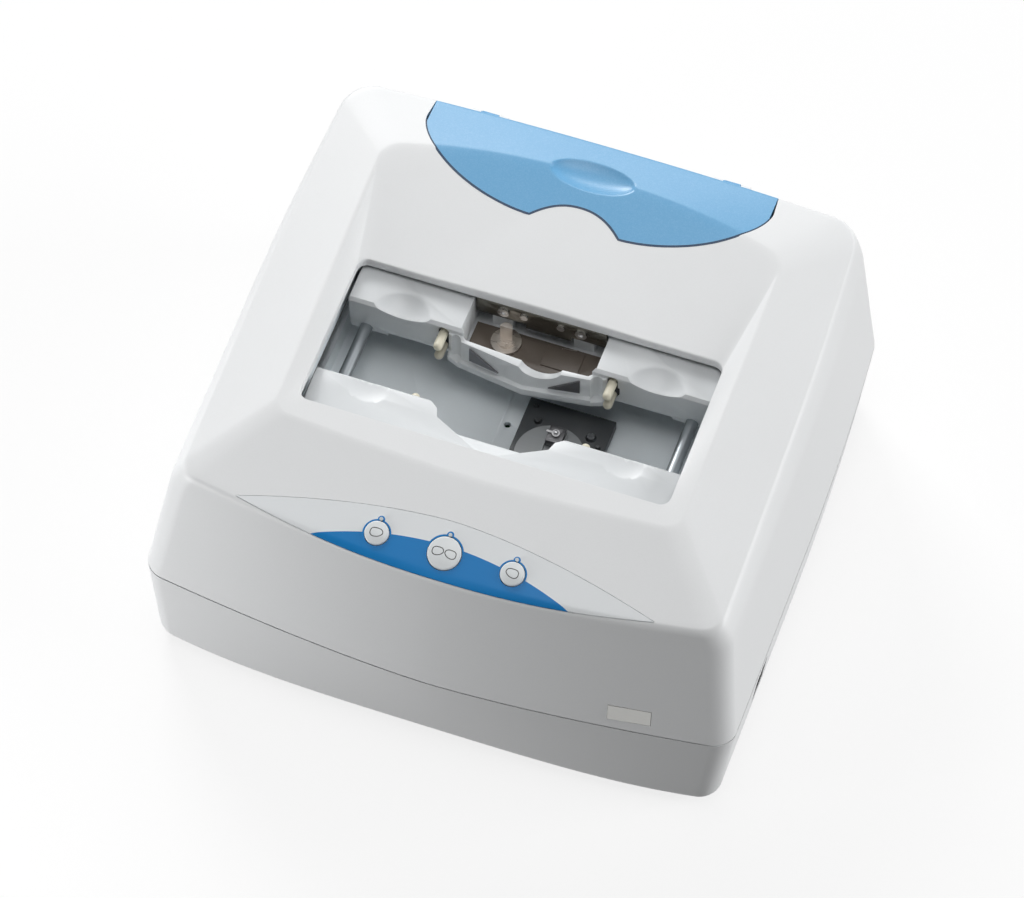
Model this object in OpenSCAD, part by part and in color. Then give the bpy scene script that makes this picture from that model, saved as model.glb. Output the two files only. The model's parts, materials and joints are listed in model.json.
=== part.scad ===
// Optician's frame tracer: a bench instrument that clamps a pair of spectacles
// between two sliders and feels round the inside of each rim with a stylus.
// Frame: +Z up, front (the buttons) towards -Y, origin at the middle of the footprint.

/* [Housing] */
// Height of the seam between base tray and upper cover, above the table
seam_z = 52; // [44:1:56]
// Half width of the housing at the seam
seam_half_w = 143.5; // [142:0.5:150]
// Forward reach of the housing at the seam, at the middle of the front
seam_front = 132; // [130:1:138]
// Backward reach of the housing at the seam
seam_back = 132; // [130:1:138]
// How far the base walls lean in towards the table
base_draft = 5; // [3:0.5:7]
// How far the front of the base leans in towards the table
nose_draft = 3; // [2:0.5:5]
// Thickness of the moulded walls
wall = 3; // [2.5:0.1:3.2]
// Height of the rubber feet below the tray
foot_h = 3; // [2:0.5:4]
// Radius of a rubber foot
foot_r = 9; // [6:0.5:11]
// Height of the dark gap at the seam
seam_gap = 0.8; // [0.4:0.1:1]

/* [Upper cover] */
// Height of the lower edge of the shoulder band at the front
band_low_z = 105; // [102:0.5:107]
// Height of the upper edge of the shoulder band at the front
band_high_z = 113.5; // [111:0.5:115]
// Height of the shoulder at the back edge
back_edge_z = 138.5; // [136:0.5:140]
// Height of the flat rim round the opening
rim_z = 130.6; // [129:0.2:132]
// Height of the ridge behind the opening
ridge_z = 142.5; // [141:0.5:145]
// Half width of the outer fold of the rim
rim_half_w = 98; // [96:0.5:101]

/* [Opening] */
// Half width of the opening
open_half_w = 89; // [88:0.5:90]
// Front edge of the opening, forward of the middle
open_front = 52; // [51:0.5:54]
// Back edge of the opening, behind the middle
open_back = 30; // [28:0.5:31]
// Depth of the lip that hangs round the opening
lip_h = 4.4; // [4:0.2:4.6]
// Corner radius of the opening
open_r = 5; // [4:0.5:7]

/* [Rear lid] */
// Half width of the lid
lid_half_w = 85; // [80:0.5:87]
// Front edge of the lid, behind the middle
lid_front = 75; // [74:0.5:78]
// Half width of the notch in the front edge
notch_half_w = 22; // [16:0.5:26]
// Depth of the notch
notch_depth = 10; // [6:0.5:12]
// Gap round the lid
lid_gap = 0.6; // [0.4:0.1:1]
// Thickness of the lid
lid_t = 2.5; // [2:0.1:2.8]
// Length of the finger dimple
dimple_len = 41; // [34:0.5:46]

/* [Buttons] */
// Distance between neighbouring buttons
button_pitch = 32.5; // [30:0.5:36]
// Radius of the outer buttons
button_r = 5.6; // [5:0.1:6.5]
// Radius of the start button
start_r = 7.8; // [7:0.1:9]
// Travel of a button
button_travel = 0.7; // [0.4:0.1:0.8]
// Gap round a button
button_gap = 0.35; // [0.2:0.05:0.5]

/* [Sliders] */
// Height of the highest line of the slider tops
slider_z = 124; // [123:0.2:124.6]
// Rear edge of the front slider, forward of the middle
front_edge = 29; // [27:0.5:31]
// Front edge of the pads on the rear slider, behind the middle
rear_edge = 11; // [9.5:0.5:12]
// Half length of both sliders
slider_half_l = 88; // [86:0.5:88.4]
// Distance of each guide rod from the end of the sliders
rod_inset = 8; // [7:0.5:10]
// Radius of the guide rods
rod_r = 3; // [2.5:0.1:4]
// Height of the guide rods
rod_z = 103; // [102:0.5:104]
// Radial clearance of running fits
fit = 0.06; // [0.03:0.01:0.09]
// Distance of each clamp from the middle
clamp_x = 41.3; // [40:0.1:43]
// Radius of a clamp finger
finger_r = 2.2; // [1.8:0.1:2.4]

/* [Measuring unit] */
// Height of the well floor
deck_z = 84; // [82:0.5:85]
// Middle of the measuring unit in the pose shown
unit_x = 23.5; // [22:0.5:25]
// Width of the unit's dark cover plate
unit_w = 42; // [40:0.5:44]
// Radius of the turntable
table_r = 16.5; // [14:0.5:18]
// Place of the turntable axis, forward of the middle
table_y = 20; // [19:0.5:22]
// Radius of the carriage rails
rail_r = 4; // [3:0.1:5]

/* [Hidden] */
$fn = 48;

white = [0.93, 0.94, 0.95];
slate = [0.36, 0.38, 0.40];
steel = [0.72, 0.72, 0.73];

// ---- outline of one level of the housing ------------------------------------------
// A ring is [half width, front, front bow, bow power, back, back bow,
//            front corner radius, back corner radius, front z, back z, taper].
arc_n = 6;
side_n = 6;
function mix(a, b, t) = [for (i = [0:len(a) - 1]) a[i] + (b[i] - a[i]) * t];
function arc_pts(cx, cy, r, a0) = [for (i = [0:arc_n]) let (a = a0 + 90 * i / arc_n)
    [cx + r * cos(a), cy + r * sin(a)]];
function between(a, b) = [for (i = [1:side_n]) a + (b - a) * i / (side_n + 1)];
function square_pts(w, yf, yb, rf, rb) = let (
    fr = arc_pts(w - rf, rf - yf, rf, -90), br = arc_pts(w - rb, yb - rb, rb, 0),
    bl = arc_pts(rb - w, yb - rb, rb, 90), fl = arc_pts(rf - w, rf - yf, rf, 180))
    concat(fr, between(fr[arc_n], br[0]), br, between(br[arc_n], bl[0]),
        bl, between(bl[arc_n], fl[0]), fl, between(fl[arc_n], fr[0]));
function bowed(p, r) = let (
    half = (r[4] + r[1]) / 2, mid = (r[4] - r[1]) / 2, t = (p[1] - mid) / half,
    u = min(1, abs(p[0]) / r[0]),
    drop = t < 0 ? r[2] * pow(u, r[3]) : -r[5] * pow(u, 2.2),
    along = (p[1] + drop * abs(t) + r[1]) / (r[4] + r[1]))
    [p[0] * (1 - r[10] / r[0] * pow(max(0, t), 2)), p[1] + drop * abs(t),
     r[8] + (r[9] - r[8]) * along];
function ring(r) = [for (p = square_pts(r[0], r[1], r[4], r[6], r[7])) bowed(p, r)];
function softened(p, f, n, a, b) = let (f1 = mix(f, p, a), f3 = mix(f, n, b))
    [f1, mix(mix(f1, f3, 0.5), f, 0.5), f3];
// A ring drawn in by d all round and lowered by h
function drawn_in(r, d, h) = [r[0] - d, r[1] - d, r[2], r[3], r[4] - d, r[5],
    max(1, r[6] - d), max(1, r[7] - d), r[8] - h, r[9] - h, r[10]];

function mean_pt(l) = [for (k = [0:2]) [for (p = l) p[k]] * [for (p = l) 1 / len(l)]];

module ring_skin(rings, closed_loop = false) {
    n = len(ring(rings[0]));
    m = len(rings);
    pts = [for (r = rings) each ring(r)];
    last = closed_loop ? m - 1 : m - 2;
    walls = [for (j = [0:last], i = [0:n - 1]) let (k = (j + 1) % m, q = (i + 1) % n)
        each [[j * n + i, k * n + i, k * n + q], [j * n + i, k * n + q, j * n + q]]];
    hubs = closed_loop ? [] : [mean_pt(ring(rings[0])), mean_pt(ring(rings[m - 1]))];
    caps = closed_loop ? [] : [for (i = [0:n - 1]) let (q = (i + 1) % n)
        each [[n * m, i, q], [n * m + 1, (m - 1) * n + q, (m - 1) * n + i]]];
    polyhedron(points = concat(pts, hubs), faces = concat(walls, caps));
}

// ---- levels of the housing --------------------------------------------------------
seam_ring = [seam_half_w, seam_front, 13.5, 1.6, seam_back, 5, 10, 15, seam_z, seam_z, 6];
base_ring = [seam_half_w - base_draft, seam_front - nose_draft, 8, 3.5,
    seam_back - base_draft, 4, 9, 14, foot_h + 3.5, foot_h + 3.5, 5];
sole_ring = drawn_in(base_ring, 3, 3.5);
skirt_ring = drawn_in(seam_ring, 0.1, -seam_gap);
low_ring = [seam_half_w - 8.5, seam_front - 15.6, 15, 1.6, seam_back - 4.5, 5,
    10, 14, band_low_z, band_low_z + 20.5, 6];
high_ring = [low_ring[0] - 5, low_ring[1] - 2.4, 14.5, 1.6, low_ring[4] - 4, 3,
    9, 14, band_high_z, back_edge_z, 4];
rim_front = open_front + 14.7;
ridge_back = lid_front + 27;
rim_ring = [rim_half_w, rim_front, 5, 1.6, ridge_back, 15, 8, 9, rim_z - 1.1, ridge_z, 0];
mouth_ring = [open_half_w, open_front, 0, 1, open_back, 0, open_r, open_r, rim_z, rim_z, 0];
lip_t = 2.6;
outer_rings = concat([skirt_ring], softened(skirt_ring, low_ring, high_ring, 0.06, 0.35),
    softened(low_ring, high_ring, rim_ring, 0.35, 0.05),
    softened(high_ring, rim_ring, mouth_ring, 0.05, 0.1), [mouth_ring]);
// The same surface sunk by d, without its opening
function sunk(d) = [for (r = outer_rings) drawn_in(r, d * 0.6, d)];

module skin_between(a, b) {
    difference() {
        ring_skin(sunk(a));
        translate([0, 0, -0.01]) ring_skin(sunk(b));
    }
}

// ---- housing ----------------------------------------------------------------------
deck_t = 3;
deck_front = 80;
deck_back = 66;
post_x = seam_half_w - 77.5;
post_y = [-71, 58];
post_r = 4.5;
box_post_x = 64;
storage_front = lid_front + 3;
storage_back = lid_front + 39;
storage_z = 102;
storage_half_w = 72;
floor_z = foot_h + wall;
board_z = floor_z + 8;
board_half_w = post_x - 18;
board_x = board_half_w - 6;
board_y = [36, 92];
inlet_x = 47.5 - seam_half_w;
foot_x = seam_half_w - 38.5;
foot_y = seam_back - 40;
inlet_w = 28;
inlet_h = 21;
inlet_z = 26;
port_x = 60;
port_w = 31;
port_h = 12;
port_z = 22;
switch_y = -66;
switch_z = 30;
switch_w = 15;
switch_h = 21;
back_face_y = seam_back - base_draft + (inlet_z - foot_h) / (seam_z - foot_h) * base_draft;
side_face_x = seam_half_w - base_draft + (switch_z - foot_h) / (seam_z - foot_h) * base_draft;

module base_tray() {
    color(white) {
        difference() {
            ring_skin([sole_ring, base_ring, seam_ring, drawn_in(seam_ring, wall, 0),
                drawn_in(base_ring, wall, -wall), drawn_in(sole_ring, wall, -wall)]);
            for (x = [-1, 1], y = [-1, 1]) translate([x * foot_x, y * foot_y, foot_h - 1])
                cylinder(r = foot_r + 0.2, h = 2.2);
            translate([inlet_x - inlet_w / 2 - 0.3, seam_back - 22, inlet_z - inlet_h / 2 - 0.3])
                cube([inlet_w + 0.6, 30, inlet_h + 0.6]);
            translate([port_x - port_w / 2 - 0.3, seam_back - 22, port_z - port_h / 2 - 0.3])
                cube([port_w + 0.6, 30, port_h + 0.6]);
            translate([seam_half_w - 22, switch_y - switch_w / 2 - 0.3, switch_z - switch_h / 2 - 0.3])
                cube([30, switch_w + 0.6, switch_h + 0.6]);
            for (x = [-11:11]) translate([x * 7 - 1.5, seam_back - 14, 38])
                cube([3, 30, 9]);
        }
        for (x = [-1, 1], y = post_y) translate([x * post_x, y, floor_z - 0.5])
            cylinder(r = post_r, h = deck_z - deck_t - floor_z + 0.5);
        for (x = [-1, 1]) translate([x * box_post_x, storage_front + 16, floor_z - 0.5])
            cylinder(r = 6, h = storage_z - floor_z + 0.5);
        for (x = [-1, 1], y = board_y) translate([x * board_x, y, floor_z - 0.5])
            cylinder(r = 3.5, h = board_z - floor_z + 0.5);
        translate([-pulley_x, belt_y, floor_z - 0.5]) cylinder(r = 7, h = pulley_z - floor_z);
        translate([-pulley_x, belt_y, floor_z]) cylinder(r = shaft_r, h = pulley_z + 7 - floor_z);
    }
}

module rubber_feet() {
    color([0.15, 0.15, 0.16]) for (x = [-1, 1], y = [-1, 1]) translate([x * foot_x, y * foot_y, 0])
        difference() {
            union() {
                cylinder(r1 = foot_r - 1, r2 = foot_r, h = 1);
                translate([0, 0, 1]) cylinder(r = foot_r, h = foot_h);
            }
            translate([0, 0, -0.1]) cylinder(r = foot_r / 3, h = 1.6);
        }
}

// Outline of the lid seen from above: a flat-bottomed bowl with a notch at the front
bowl_r = lid_half_w - notch_half_w;
lid_shoulder = lid_front + 36;
lid_rear = seam_back + 2;
function bowl_side(s) = [for (i = [0:14]) let (u = i / 14,
    v = 1 - pow(1 - pow(u, 1.75), 1 / 1.75))
    [s * (notch_half_w + bowl_r * u), lid_front + (lid_shoulder - lid_front) * v]];
function reversed(l) = [for (i = [len(l) - 1:-1:0]) l[i]];
function notch_pts() = [for (i = [-7:7]) let (u = i / 8)
    [notch_half_w * u, lid_front + notch_depth * (1 - pow(abs(u), 2.2))]];
module lid_outline(grow) {
    offset(delta = grow) polygon(concat(reversed(bowl_side(-1)), notch_pts(), bowl_side(1),
        [[lid_half_w - 1.5, lid_rear], [-lid_half_w + 1.5, lid_rear]]));
}
lid_low_z = 128.8;
hinge_x = 60;
hinge_r = 2.2;
pin_r = 1.25;
hinge_z = lid_low_z;
hinge_y = low_ring[4] - 0.3;

// Outline of the leaf-shaped control overlay, seen from above
leaf_half_w = 100;
leaf_front_y = 113.2;
leaf_mid_y = 102.5;
leaf_back_y = 87.1;
function leaf_pts(w, g) = concat(
    [for (i = [-12:12]) let (u = i / 12) [w * u, -leaf_mid_y - g
        - (leaf_front_y - leaf_mid_y) * (1 - u * u)]],
    [for (i = [11:-1:-11]) let (u = i / 12) [w * u, -leaf_mid_y + g
        + (leaf_mid_y - leaf_back_y) * (1 - pow(abs(u), 1.7))]]);
overlay_t = 0.5;
button_row_y = -101.4;
panel_tilt = atan2(rim_ring[8] - high_ring[8], high_ring[1] - rim_ring[1]);
button_z = high_ring[8] + (high_ring[1] + button_row_y) * tan(panel_tilt);
function lamp_y(i) = i == 0 ? 8.9 : 6.8;
lamp_r = 0.85;
lamp_gap = 0.05;
module on_panel(x, y) {
    translate([x, button_row_y, button_z]) rotate([panel_tilt, 0, 0]) translate([0, y, 0])
        children();
}
module button_holes(grow, deep) {
    for (i = [-1:1]) on_panel(i * button_pitch, 0)
        translate([0, 0, -deep]) cylinder(r = (i == 0 ? start_r : button_r) + grow, h = deep + 12);
    for (i = [-1:1]) on_panel(i * button_pitch, lamp_y(i))
        translate([0, 0, -deep]) cylinder(r = lamp_r + lamp_gap, h = deep + 12);
}

module upper_cover() {
    color(white) difference() {
        ring_skin(concat(outer_rings, [drawn_in(mouth_ring, 0, lip_h),
            drawn_in(mouth_ring, -lip_t, lip_h), drawn_in(mouth_ring, -lip_t, wall),
            drawn_in(rim_ring, 2.2, wall), drawn_in(high_ring, wall, wall),
            drawn_in(low_ring, wall, 0.8), drawn_in(skirt_ring, wall, 0)]), true);
        translate([0, 0, lid_low_z]) linear_extrude(30) lid_outline(lid_gap);
        intersection() {
            skin_between(-3, overlay_t);
            translate([0, 0, 90]) linear_extrude(60) polygon(leaf_pts(leaf_half_w + 0.3, 0.3));
        }
        button_holes(button_gap, 12);
        for (x = [-1, 1]) translate([x * hinge_x - 9.3, hinge_y - 2.6, hinge_z - 12])
            cube([18.6, 12, 16]);
        plate_block(0.25, 4);
    }
}

// ---- control panel ----------------------------------------------------------------
module panel_overlay() {
    color([0.86, 0.88, 0.89]) difference() {
        intersection() {
            skin_between(-0.1, overlay_t - 0.05);
            translate([0, 0, 90]) linear_extrude(60) polygon(leaf_pts(leaf_half_w, 0));
        }
        button_holes(button_gap, 12);
    }
}

board_drop = 9;
module panel_board() {
    color([0.13, 0.42, 0.25]) on_panel(0, 0) translate([-52, -7, -board_drop - 1.6])
        cube([104, 20, 1.6]);
    color("black") for (i = [-1:1]) on_panel(i * button_pitch, 0)
        translate([-3, -3, -board_drop]) cube([6, 6, 2.6]);
    color(white) for (x = [-1, 1]) on_panel(x * 47, 3) translate([0, 0, -board_drop])
        cylinder(r = 2.5, h = board_drop - wall - 1.3);
}

module indicator_lenses() {
    color([0.55, 0.75, 0.9, 0.8]) for (i = [-1:1]) on_panel(i * button_pitch, lamp_y(i))
        translate([0, 0, -board_drop]) cylinder(r = lamp_r, h = board_drop + 0.9);
}

module button_body(r) {
    translate([0, 0, -board_drop + 2.6 + button_travel + 0.1])
        cylinder(r = 2.2, h = board_drop - 2.6 - button_travel);
    translate([0, 0, -3.4]) cylinder(r = r, h = 4.6);
    translate([0, 0, 1.2]) cylinder(r1 = r, r2 = r - 0.7, h = 0.7);
}
module button_left() { color(white) on_panel(-button_pitch, 0) button_body(button_r); }
module button_start() { color(white) on_panel(0, 0) button_body(start_r); }
module button_right() { color(white) on_panel(button_pitch, 0) button_body(button_r); }

plate_x = 96;
plate_w = 20;
plate_h = 8;
plate_z = seam_z + 9.6;
plate_t = 0.8;
plate_proud = 0.25;
function wall_y(r, x) = -r[1] + r[2] * pow(x / r[0], r[3]);
plate_up = (plate_z - skirt_ring[8]) / (low_ring[8] - skirt_ring[8]);
plate_y = mix([wall_y(skirt_ring, plate_x)], [wall_y(low_ring, plate_x)], plate_up)[0];
plate_lean = atan2(wall_y(low_ring, plate_x) - wall_y(skirt_ring, plate_x),
    low_ring[8] - skirt_ring[8]);
plate_yaw = atan2(wall_y(low_ring, plate_x + 9) - wall_y(low_ring, plate_x - 9), 18);
module plate_block(grow, out) {
    translate([plate_x, plate_y, plate_z]) rotate([0, 0, plate_yaw]) rotate([-plate_lean, 0, 0])
        translate([-plate_w / 2 - grow, -out, -plate_h / 2 - grow])
            cube([plate_w + 2 * grow, plate_t + out, plate_h + 2 * grow]);
}
module blank_plate() {
    color([0.80, 0.82, 0.83]) plate_block(0, plate_proud);
}

// ---- rear lid, its hinge and the box below it ----------------------------------------
module rear_lid() {
    color([0.50, 0.72, 0.90]) difference() {
        intersection() {
            skin_between(0, lid_t);
            translate([0, 0, lid_low_z + 0.4]) linear_extrude(40) lid_outline(0);
        }
        translate([0, ridge_back - 1, ridge_z + 17]) rotate([90, 0, 90])
            scale([1, 1, 2.3]) sphere(r = 18.2);
        for (x = [-1, 1]) translate([x * hinge_x - 9.3, hinge_y - 2.6, hinge_z - 12])
            cube([18.6, 12, 12 + hinge_r + 0.3]);
    }
}

module lid_knuckles() {
    color([0.50, 0.72, 0.90]) for (x = [-1, 1]) translate([x * hinge_x, 0, 0]) difference() {
        union() {
            translate([-4, hinge_y, hinge_z]) rotate([0, 90, 0]) cylinder(r = hinge_r, h = 8);
            translate([-4, hinge_y - 2.4, hinge_z]) cube([8, 1.4, 4.6]);
            translate([-4, hinge_y - 2.4, hinge_z]) cube([8, 2.4, 1]);
        }
        translate([-5, hinge_y, hinge_z]) rotate([0, 90, 0]) cylinder(r = pin_r + fit, h = 10);
    }
}

module hinge_brackets() {
    color(white) for (x = [-1, 1]) translate([x * hinge_x, 0, 0]) difference() {
        union() {
            for (s = [-9, 4.4]) translate([s, hinge_y, hinge_z]) rotate([0, 90, 0])
                cylinder(r = hinge_r, h = 4.6);
            for (s = [-9, 4.4]) translate([s, hinge_y - hinge_r, hinge_z - 6])
                cube([4.6, 2 * hinge_r, 6]);
            translate([-9, hinge_y - hinge_r, hinge_z - 11.6]) cube([18, 2 * hinge_r, 8]);
        }
        translate([-10, hinge_y, hinge_z]) rotate([0, 90, 0])
            cylinder(r = pin_r + 0.02, h = 20);
    }
}

module lid_hinge_pins() {
    color(steel) for (x = [-1, 1]) translate([x * hinge_x - 8.8, hinge_y, hinge_z])
        rotate([0, 90, 0]) cylinder(r = pin_r, h = 17.6);
}

module storage_box() {
    color([0.80, 0.81, 0.82]) difference() {
        translate([-storage_half_w, storage_front, storage_z])
            cube([2 * storage_half_w, storage_back - storage_front, 27]);
        translate([-storage_half_w + 2, storage_front + 2, storage_z + 2])
            cube([2 * storage_half_w - 4, storage_back - storage_front - 4, 27]);
    }
}

// ---- well, guide rods and sliders ------------------------------------------------------
rod_x = slider_half_l - rod_inset;
tub_half_w = slider_half_l + 4;
rod_front = deck_front - 1.2;
rod_end = deck_back - 1.2;
block_t = 6;
slot_y = [-39.5, -22.5];
neck_half_w = 13;
neck_slot = unit_x + neck_half_w + 1;
slider_low = 98;
lug_z = slider_z - 20;
wire_r = 5;
wire_x = tub_half_w + 8;
wire_z = 99;
wire_ends = [-70, 48];

module well_tub() {
    color([0.74, 0.78, 0.81]) difference() {
        translate([-tub_half_w - 2, -deck_front, deck_z - deck_t])
            cube([2 * tub_half_w + 4, deck_front + deck_back, 35]);
        translate([-tub_half_w, -deck_front - 1, deck_z])
            cube([2 * tub_half_w, deck_front + deck_back + 2, 60]);
        translate([-neck_slot, slot_y[0], deck_z - deck_t - 1])
            cube([2 * neck_slot, slot_y[1] - slot_y[0], deck_t + 2]);
        translate([-3.9, -5.7, deck_z - deck_t - 1]) cylinder(r = 1.6, h = deck_t + 2);
        translate([-tub_half_w - 3, -deck_front + 10, lug_z - 8])
            cube([4, deck_front + deck_back - 20, 14]);
    }
    color([0.74, 0.78, 0.81]) difference() {
        translate([-wire_x - 9, wire_ends[0] - 8, wire_z - 7.5])
            cube([wire_x + 7 - tub_half_w, wire_ends[1] - wire_ends[0] + 16, 2.5]);
        for (y = wire_ends) translate([-wire_x, y, wire_z - 9]) cylinder(r = 1.4, h = 5);
    }
    color(steel) for (y = wire_ends) translate([-wire_x, y, wire_z - 7.5])
        cylinder(r = 1.5, h = 11.5);
    color([0.70, 0.74, 0.77]) translate([-8, slot_y[1] + 1, deck_z - 0.5])
        cube([1.2, deck_back + 21, 0.7]);
}

module slider_rods() {
    color(steel) for (x = [-1, 1]) translate([x * rod_x, -rod_front, rod_z]) rotate([-90, 0, 0])
        cylinder(r = rod_r, h = rod_front + rod_end);
}

module rod_blocks() {
    color(slate) for (x = [-1, 1], y = [-rod_front, rod_end - block_t]) difference() {
        translate([x * rod_x - 6, y, deck_z]) cube([12, block_t, rod_z - deck_z + rod_r + 3]);
        translate([x * rod_x, y - 1, rod_z]) rotate([-90, 0, 0])
            cylinder(r = rod_r + 0.02, h = block_t + 2);
    }
}

module rod_bores(y0, y1) {
    for (x = [-1, 1]) translate([x * rod_x, y0, rod_z]) rotate([-90, 0, 0])
        cylinder(r = rod_r + fit, h = y1 - y0);
}

// Slots in which the ivory clamp fingers rise and fall
slot_low = slider_z - 19.8;
slot_high = slider_z - 1.6;
module finger_slots(y0, y1) {
    w = finger_r + 0.3;
    for (x = [-1, 1]) translate([x * clamp_x, y0, 0]) rotate([-90, 0, 0]) {
        translate([-w, -slot_high + w, 0]) cube([2 * w, slot_high - slot_low - 2 * w, y1 - y0]);
        translate([0, -slot_high + w, 0]) cylinder(r = w, h = y1 - y0);
        translate([0, -slot_low - w, 0]) cylinder(r = w, h = y1 - y0);
    }
}

// Hollow under the middle of each slider, where the raised stylus passes
relief_h = 3.5;
relief_half_w = rod_x - 10;
module stylus_relief(y0, y1) {
    translate([-relief_half_w, y0, slider_low - 1])
        cube([2 * relief_half_w, y1 - y0, relief_h + 1]);
}
front_back_y = -58;
module front_slider() {
    color(white) difference() {
        union() {
            translate([-slider_half_l, 0, 0]) rotate([90, 0, 90]) linear_extrude(2 * slider_half_l)
                polygon([[front_back_y, slider_low], [front_back_y, slider_z - 5.5],
                    [front_back_y + 3, slider_z - 3.6], [-front_edge - 8, slider_z],
                    [-front_edge - 1, slider_z], [-front_edge, slider_z - 1],
                    [-front_edge - 1.5, slider_low]]);
            translate([-wire_x + wire_r + 0.6, -50, lug_z - 2])
                cube([wire_x - wire_r - slider_half_l + 4, 10, 4]);
            translate([-wire_x + wire_r + 0.6, -48, wire_z - 0.6]) cube([1.6, 6, lug_z - wire_z + 1]);
        }
        translate([0, 0, slider_low + 5]) linear_extrude(40)
            polygon([[-36, -front_edge + 2], [-28.5, -32.5], [-27, -37], [-5, -47], [0, -48],
                [5, -47], [27, -37], [28.5, -32.5], [36, -front_edge + 2]]);
        for (x = [-1, 1]) translate([x * 38, -front_edge + 2, slider_z + 9]) rotate([0, x * 28, 0])
            translate([x > 0 ? -24 : 0, -26, -6]) cube([24, 26, 6]);
        for (x = [-1, 1]) translate([x * 62, -front_edge - 4, slider_z + 38.6]) sphere(r = 40);
        rod_bores(front_back_y - 1, -front_edge + 1);
        stylus_relief(front_back_y - 1, -front_edge + 1);
        finger_slots(-front_edge - 9, -front_edge + 1);
    }
}

pad_in_x = 36.5;
well_x = 33;
rear_back_y = 44;
bar_z = slider_z - 4;
module rear_slider() {
    color(white) difference() {
        union() {
            translate([-slider_half_l, 0, 0]) rotate([90, 0, 90]) linear_extrude(2 * slider_half_l)
                polygon([[rear_edge + 3, slider_low], [rear_edge + 1, slider_low + 6],
                    [rear_edge, slider_z - 1.5], [rear_edge + 1.5, slider_z],
                    [rear_back_y - 3, slider_z], [rear_back_y, slider_z - 3],
                    [rear_back_y, slider_low]]);
            translate([0, 0, slider_low]) linear_extrude(bar_z - slider_low) crossbar_outline(0);
            translate([0, 0, slider_low]) linear_extrude(8) crossbar_outline(2.2);
            translate([-wire_x - wire_r - 2.2, 24, lug_z - 1])
                cube([wire_x + wire_r + 2.2 - slider_half_l + 4, 8, 4]);
            translate([-wire_x - wire_r - 2.2, 25, wire_z - 0.6]) cube([1.6, 6, lug_z - wire_z + 1]);
        }
        translate([-well_x, rear_edge + 1.5, slider_low + 6]) cube([2 * well_x, 40, 40]);
        translate([0, 0, slider_low + 6]) linear_extrude(40) polygon([[-well_x, rear_edge + 2],
            [well_x, rear_edge + 2], [well_x - 3, rear_edge - 1.5], [0, rear_edge - 3.4],
            [-well_x + 3, rear_edge - 1.5]]);
        translate([8, 15, bar_z + 5]) rotate([90, 0, 0]) cylinder(r = 11, h = 30);
        for (x = [-1, 1]) translate([x * 62, rear_edge - 1.5, slider_z + 20.5]) sphere(r = 25);
        for (x = [-1, 1]) translate([x * (pad_in_x - 1.8), rear_edge - 3.2, slider_low + 6.5])
            cylinder(r = 3, h = 40);
        rod_bores(rear_edge - 6, rear_back_y + 1);
        stylus_relief(-2, rear_back_y + 1);
        finger_slots(rear_edge - 1, rear_edge + 11);
    }
    color(white) for (x = [-1, 1]) translate([x * 20 - 5, bracket_y + bracket_t, slider_low + 5])
        cube([10, 8, slider_z - slider_low - 8]);
}
module crossbar_outline(grow) {
    polygon([[-pad_in_x - 2, rear_edge + 2], [-pad_in_x - 2, rear_edge - 0.5 - grow],
        [-pad_in_x + 4, rear_edge - 3 - grow], [0, rear_edge - 7.5 - grow],
        [pad_in_x - 4, rear_edge - 3 - grow], [pad_in_x + 2, rear_edge - 0.5 - grow],
        [pad_in_x + 2, rear_edge + 2]]);
}

module insert_plates() {
    color([0.55, 0.55, 0.56]) for (x = [-1, 1]) translate([x * 19.5, rear_edge - 5.15, slider_z - 11.5])
        rotate([0, 0, x * 7.9]) rotate([90, 0, 0]) linear_extrude(0.7)
            polygon([[x * 7.5, 6], [x * 7.5, -3.5], [-x * 7.5, -4]]);
}

bracket_y = 31.6;
bracket_t = 1.6;
bracket_w = 2 * well_x - 2;
bracket_screw_x = 19;
bracket_screw_z = slider_z - 5.5;
module template_bracket() {
    color([0.62, 0.58, 0.53]) difference() {
        union() {
            translate([-bracket_w / 2 - 0.6, bracket_y, slider_z - 11]) cube([bracket_w, bracket_t, 10.4]);
            translate([-8, bracket_y, slider_z - 14]) cube([22, bracket_t, 4]);
        }
        for (x = [-1, 1]) translate([x * bracket_screw_x, bracket_y - 1, bracket_screw_z])
            rotate([-90, 0, 0]) cylinder(r = 1.6, h = 5);
    }
}

module bracket_screws() {
    color(steel) for (x = [-1, 1]) translate([x * bracket_screw_x, bracket_y, bracket_screw_z])
        rotate([-90, 0, 0]) difference() {
            union() {
                translate([0, 0, -1.2]) cylinder(r = 2.8, h = 1.2);
                translate([0, 0, -0.6]) cylinder(r = 1.5, h = bracket_t + 0.6);
            }
            translate([0, 0, -1.6]) cylinder(r = 1.3, h = 1, $fn = 6);
        }
    color(steel) for (x = [-1, 1]) translate([x * 9, bracket_y, bracket_screw_z + 0.3])
        rotate([90, 0, 0]) cylinder(r = 1.9, h = 0.9);
}

feeler_x = -15;
feeler_y = 23.5;
template_z = slider_low + 6;
module template_floor() {
    color([0.45, 0.42, 0.38]) difference() {
        translate([-31.5, rear_edge + 2, template_z]) cube([63, 31 - rear_edge - 2.4, 1.6]);
        translate([feeler_x - 1.6, feeler_y - 5, template_z - 1]) cube([3.2, 10, 4]);
    }
    color([0.30, 0.29, 0.28]) translate([4, rear_edge + 6, template_z + 1.6]) cube([18, 12, 1]);
}

module template_feeler() {
    color([0.66, 0.63, 0.58]) translate([feeler_x, feeler_y, template_z + 1.8]) {
        translate([0, 0, -1.6]) cylinder(r = 1.4, h = 2);
        cylinder(r = 7.2, h = 1.6);
        cylinder(r = 4.4, h = 3);
        difference() {
            cylinder(r = 3, h = 12.6);
            translate([-4, -4, 3.4]) cube([8, 4, 10]);
        }
        translate([1.5, -3.6, 1.4]) cylinder(r = 0.7, h = 3.6);
    }
}

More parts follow.
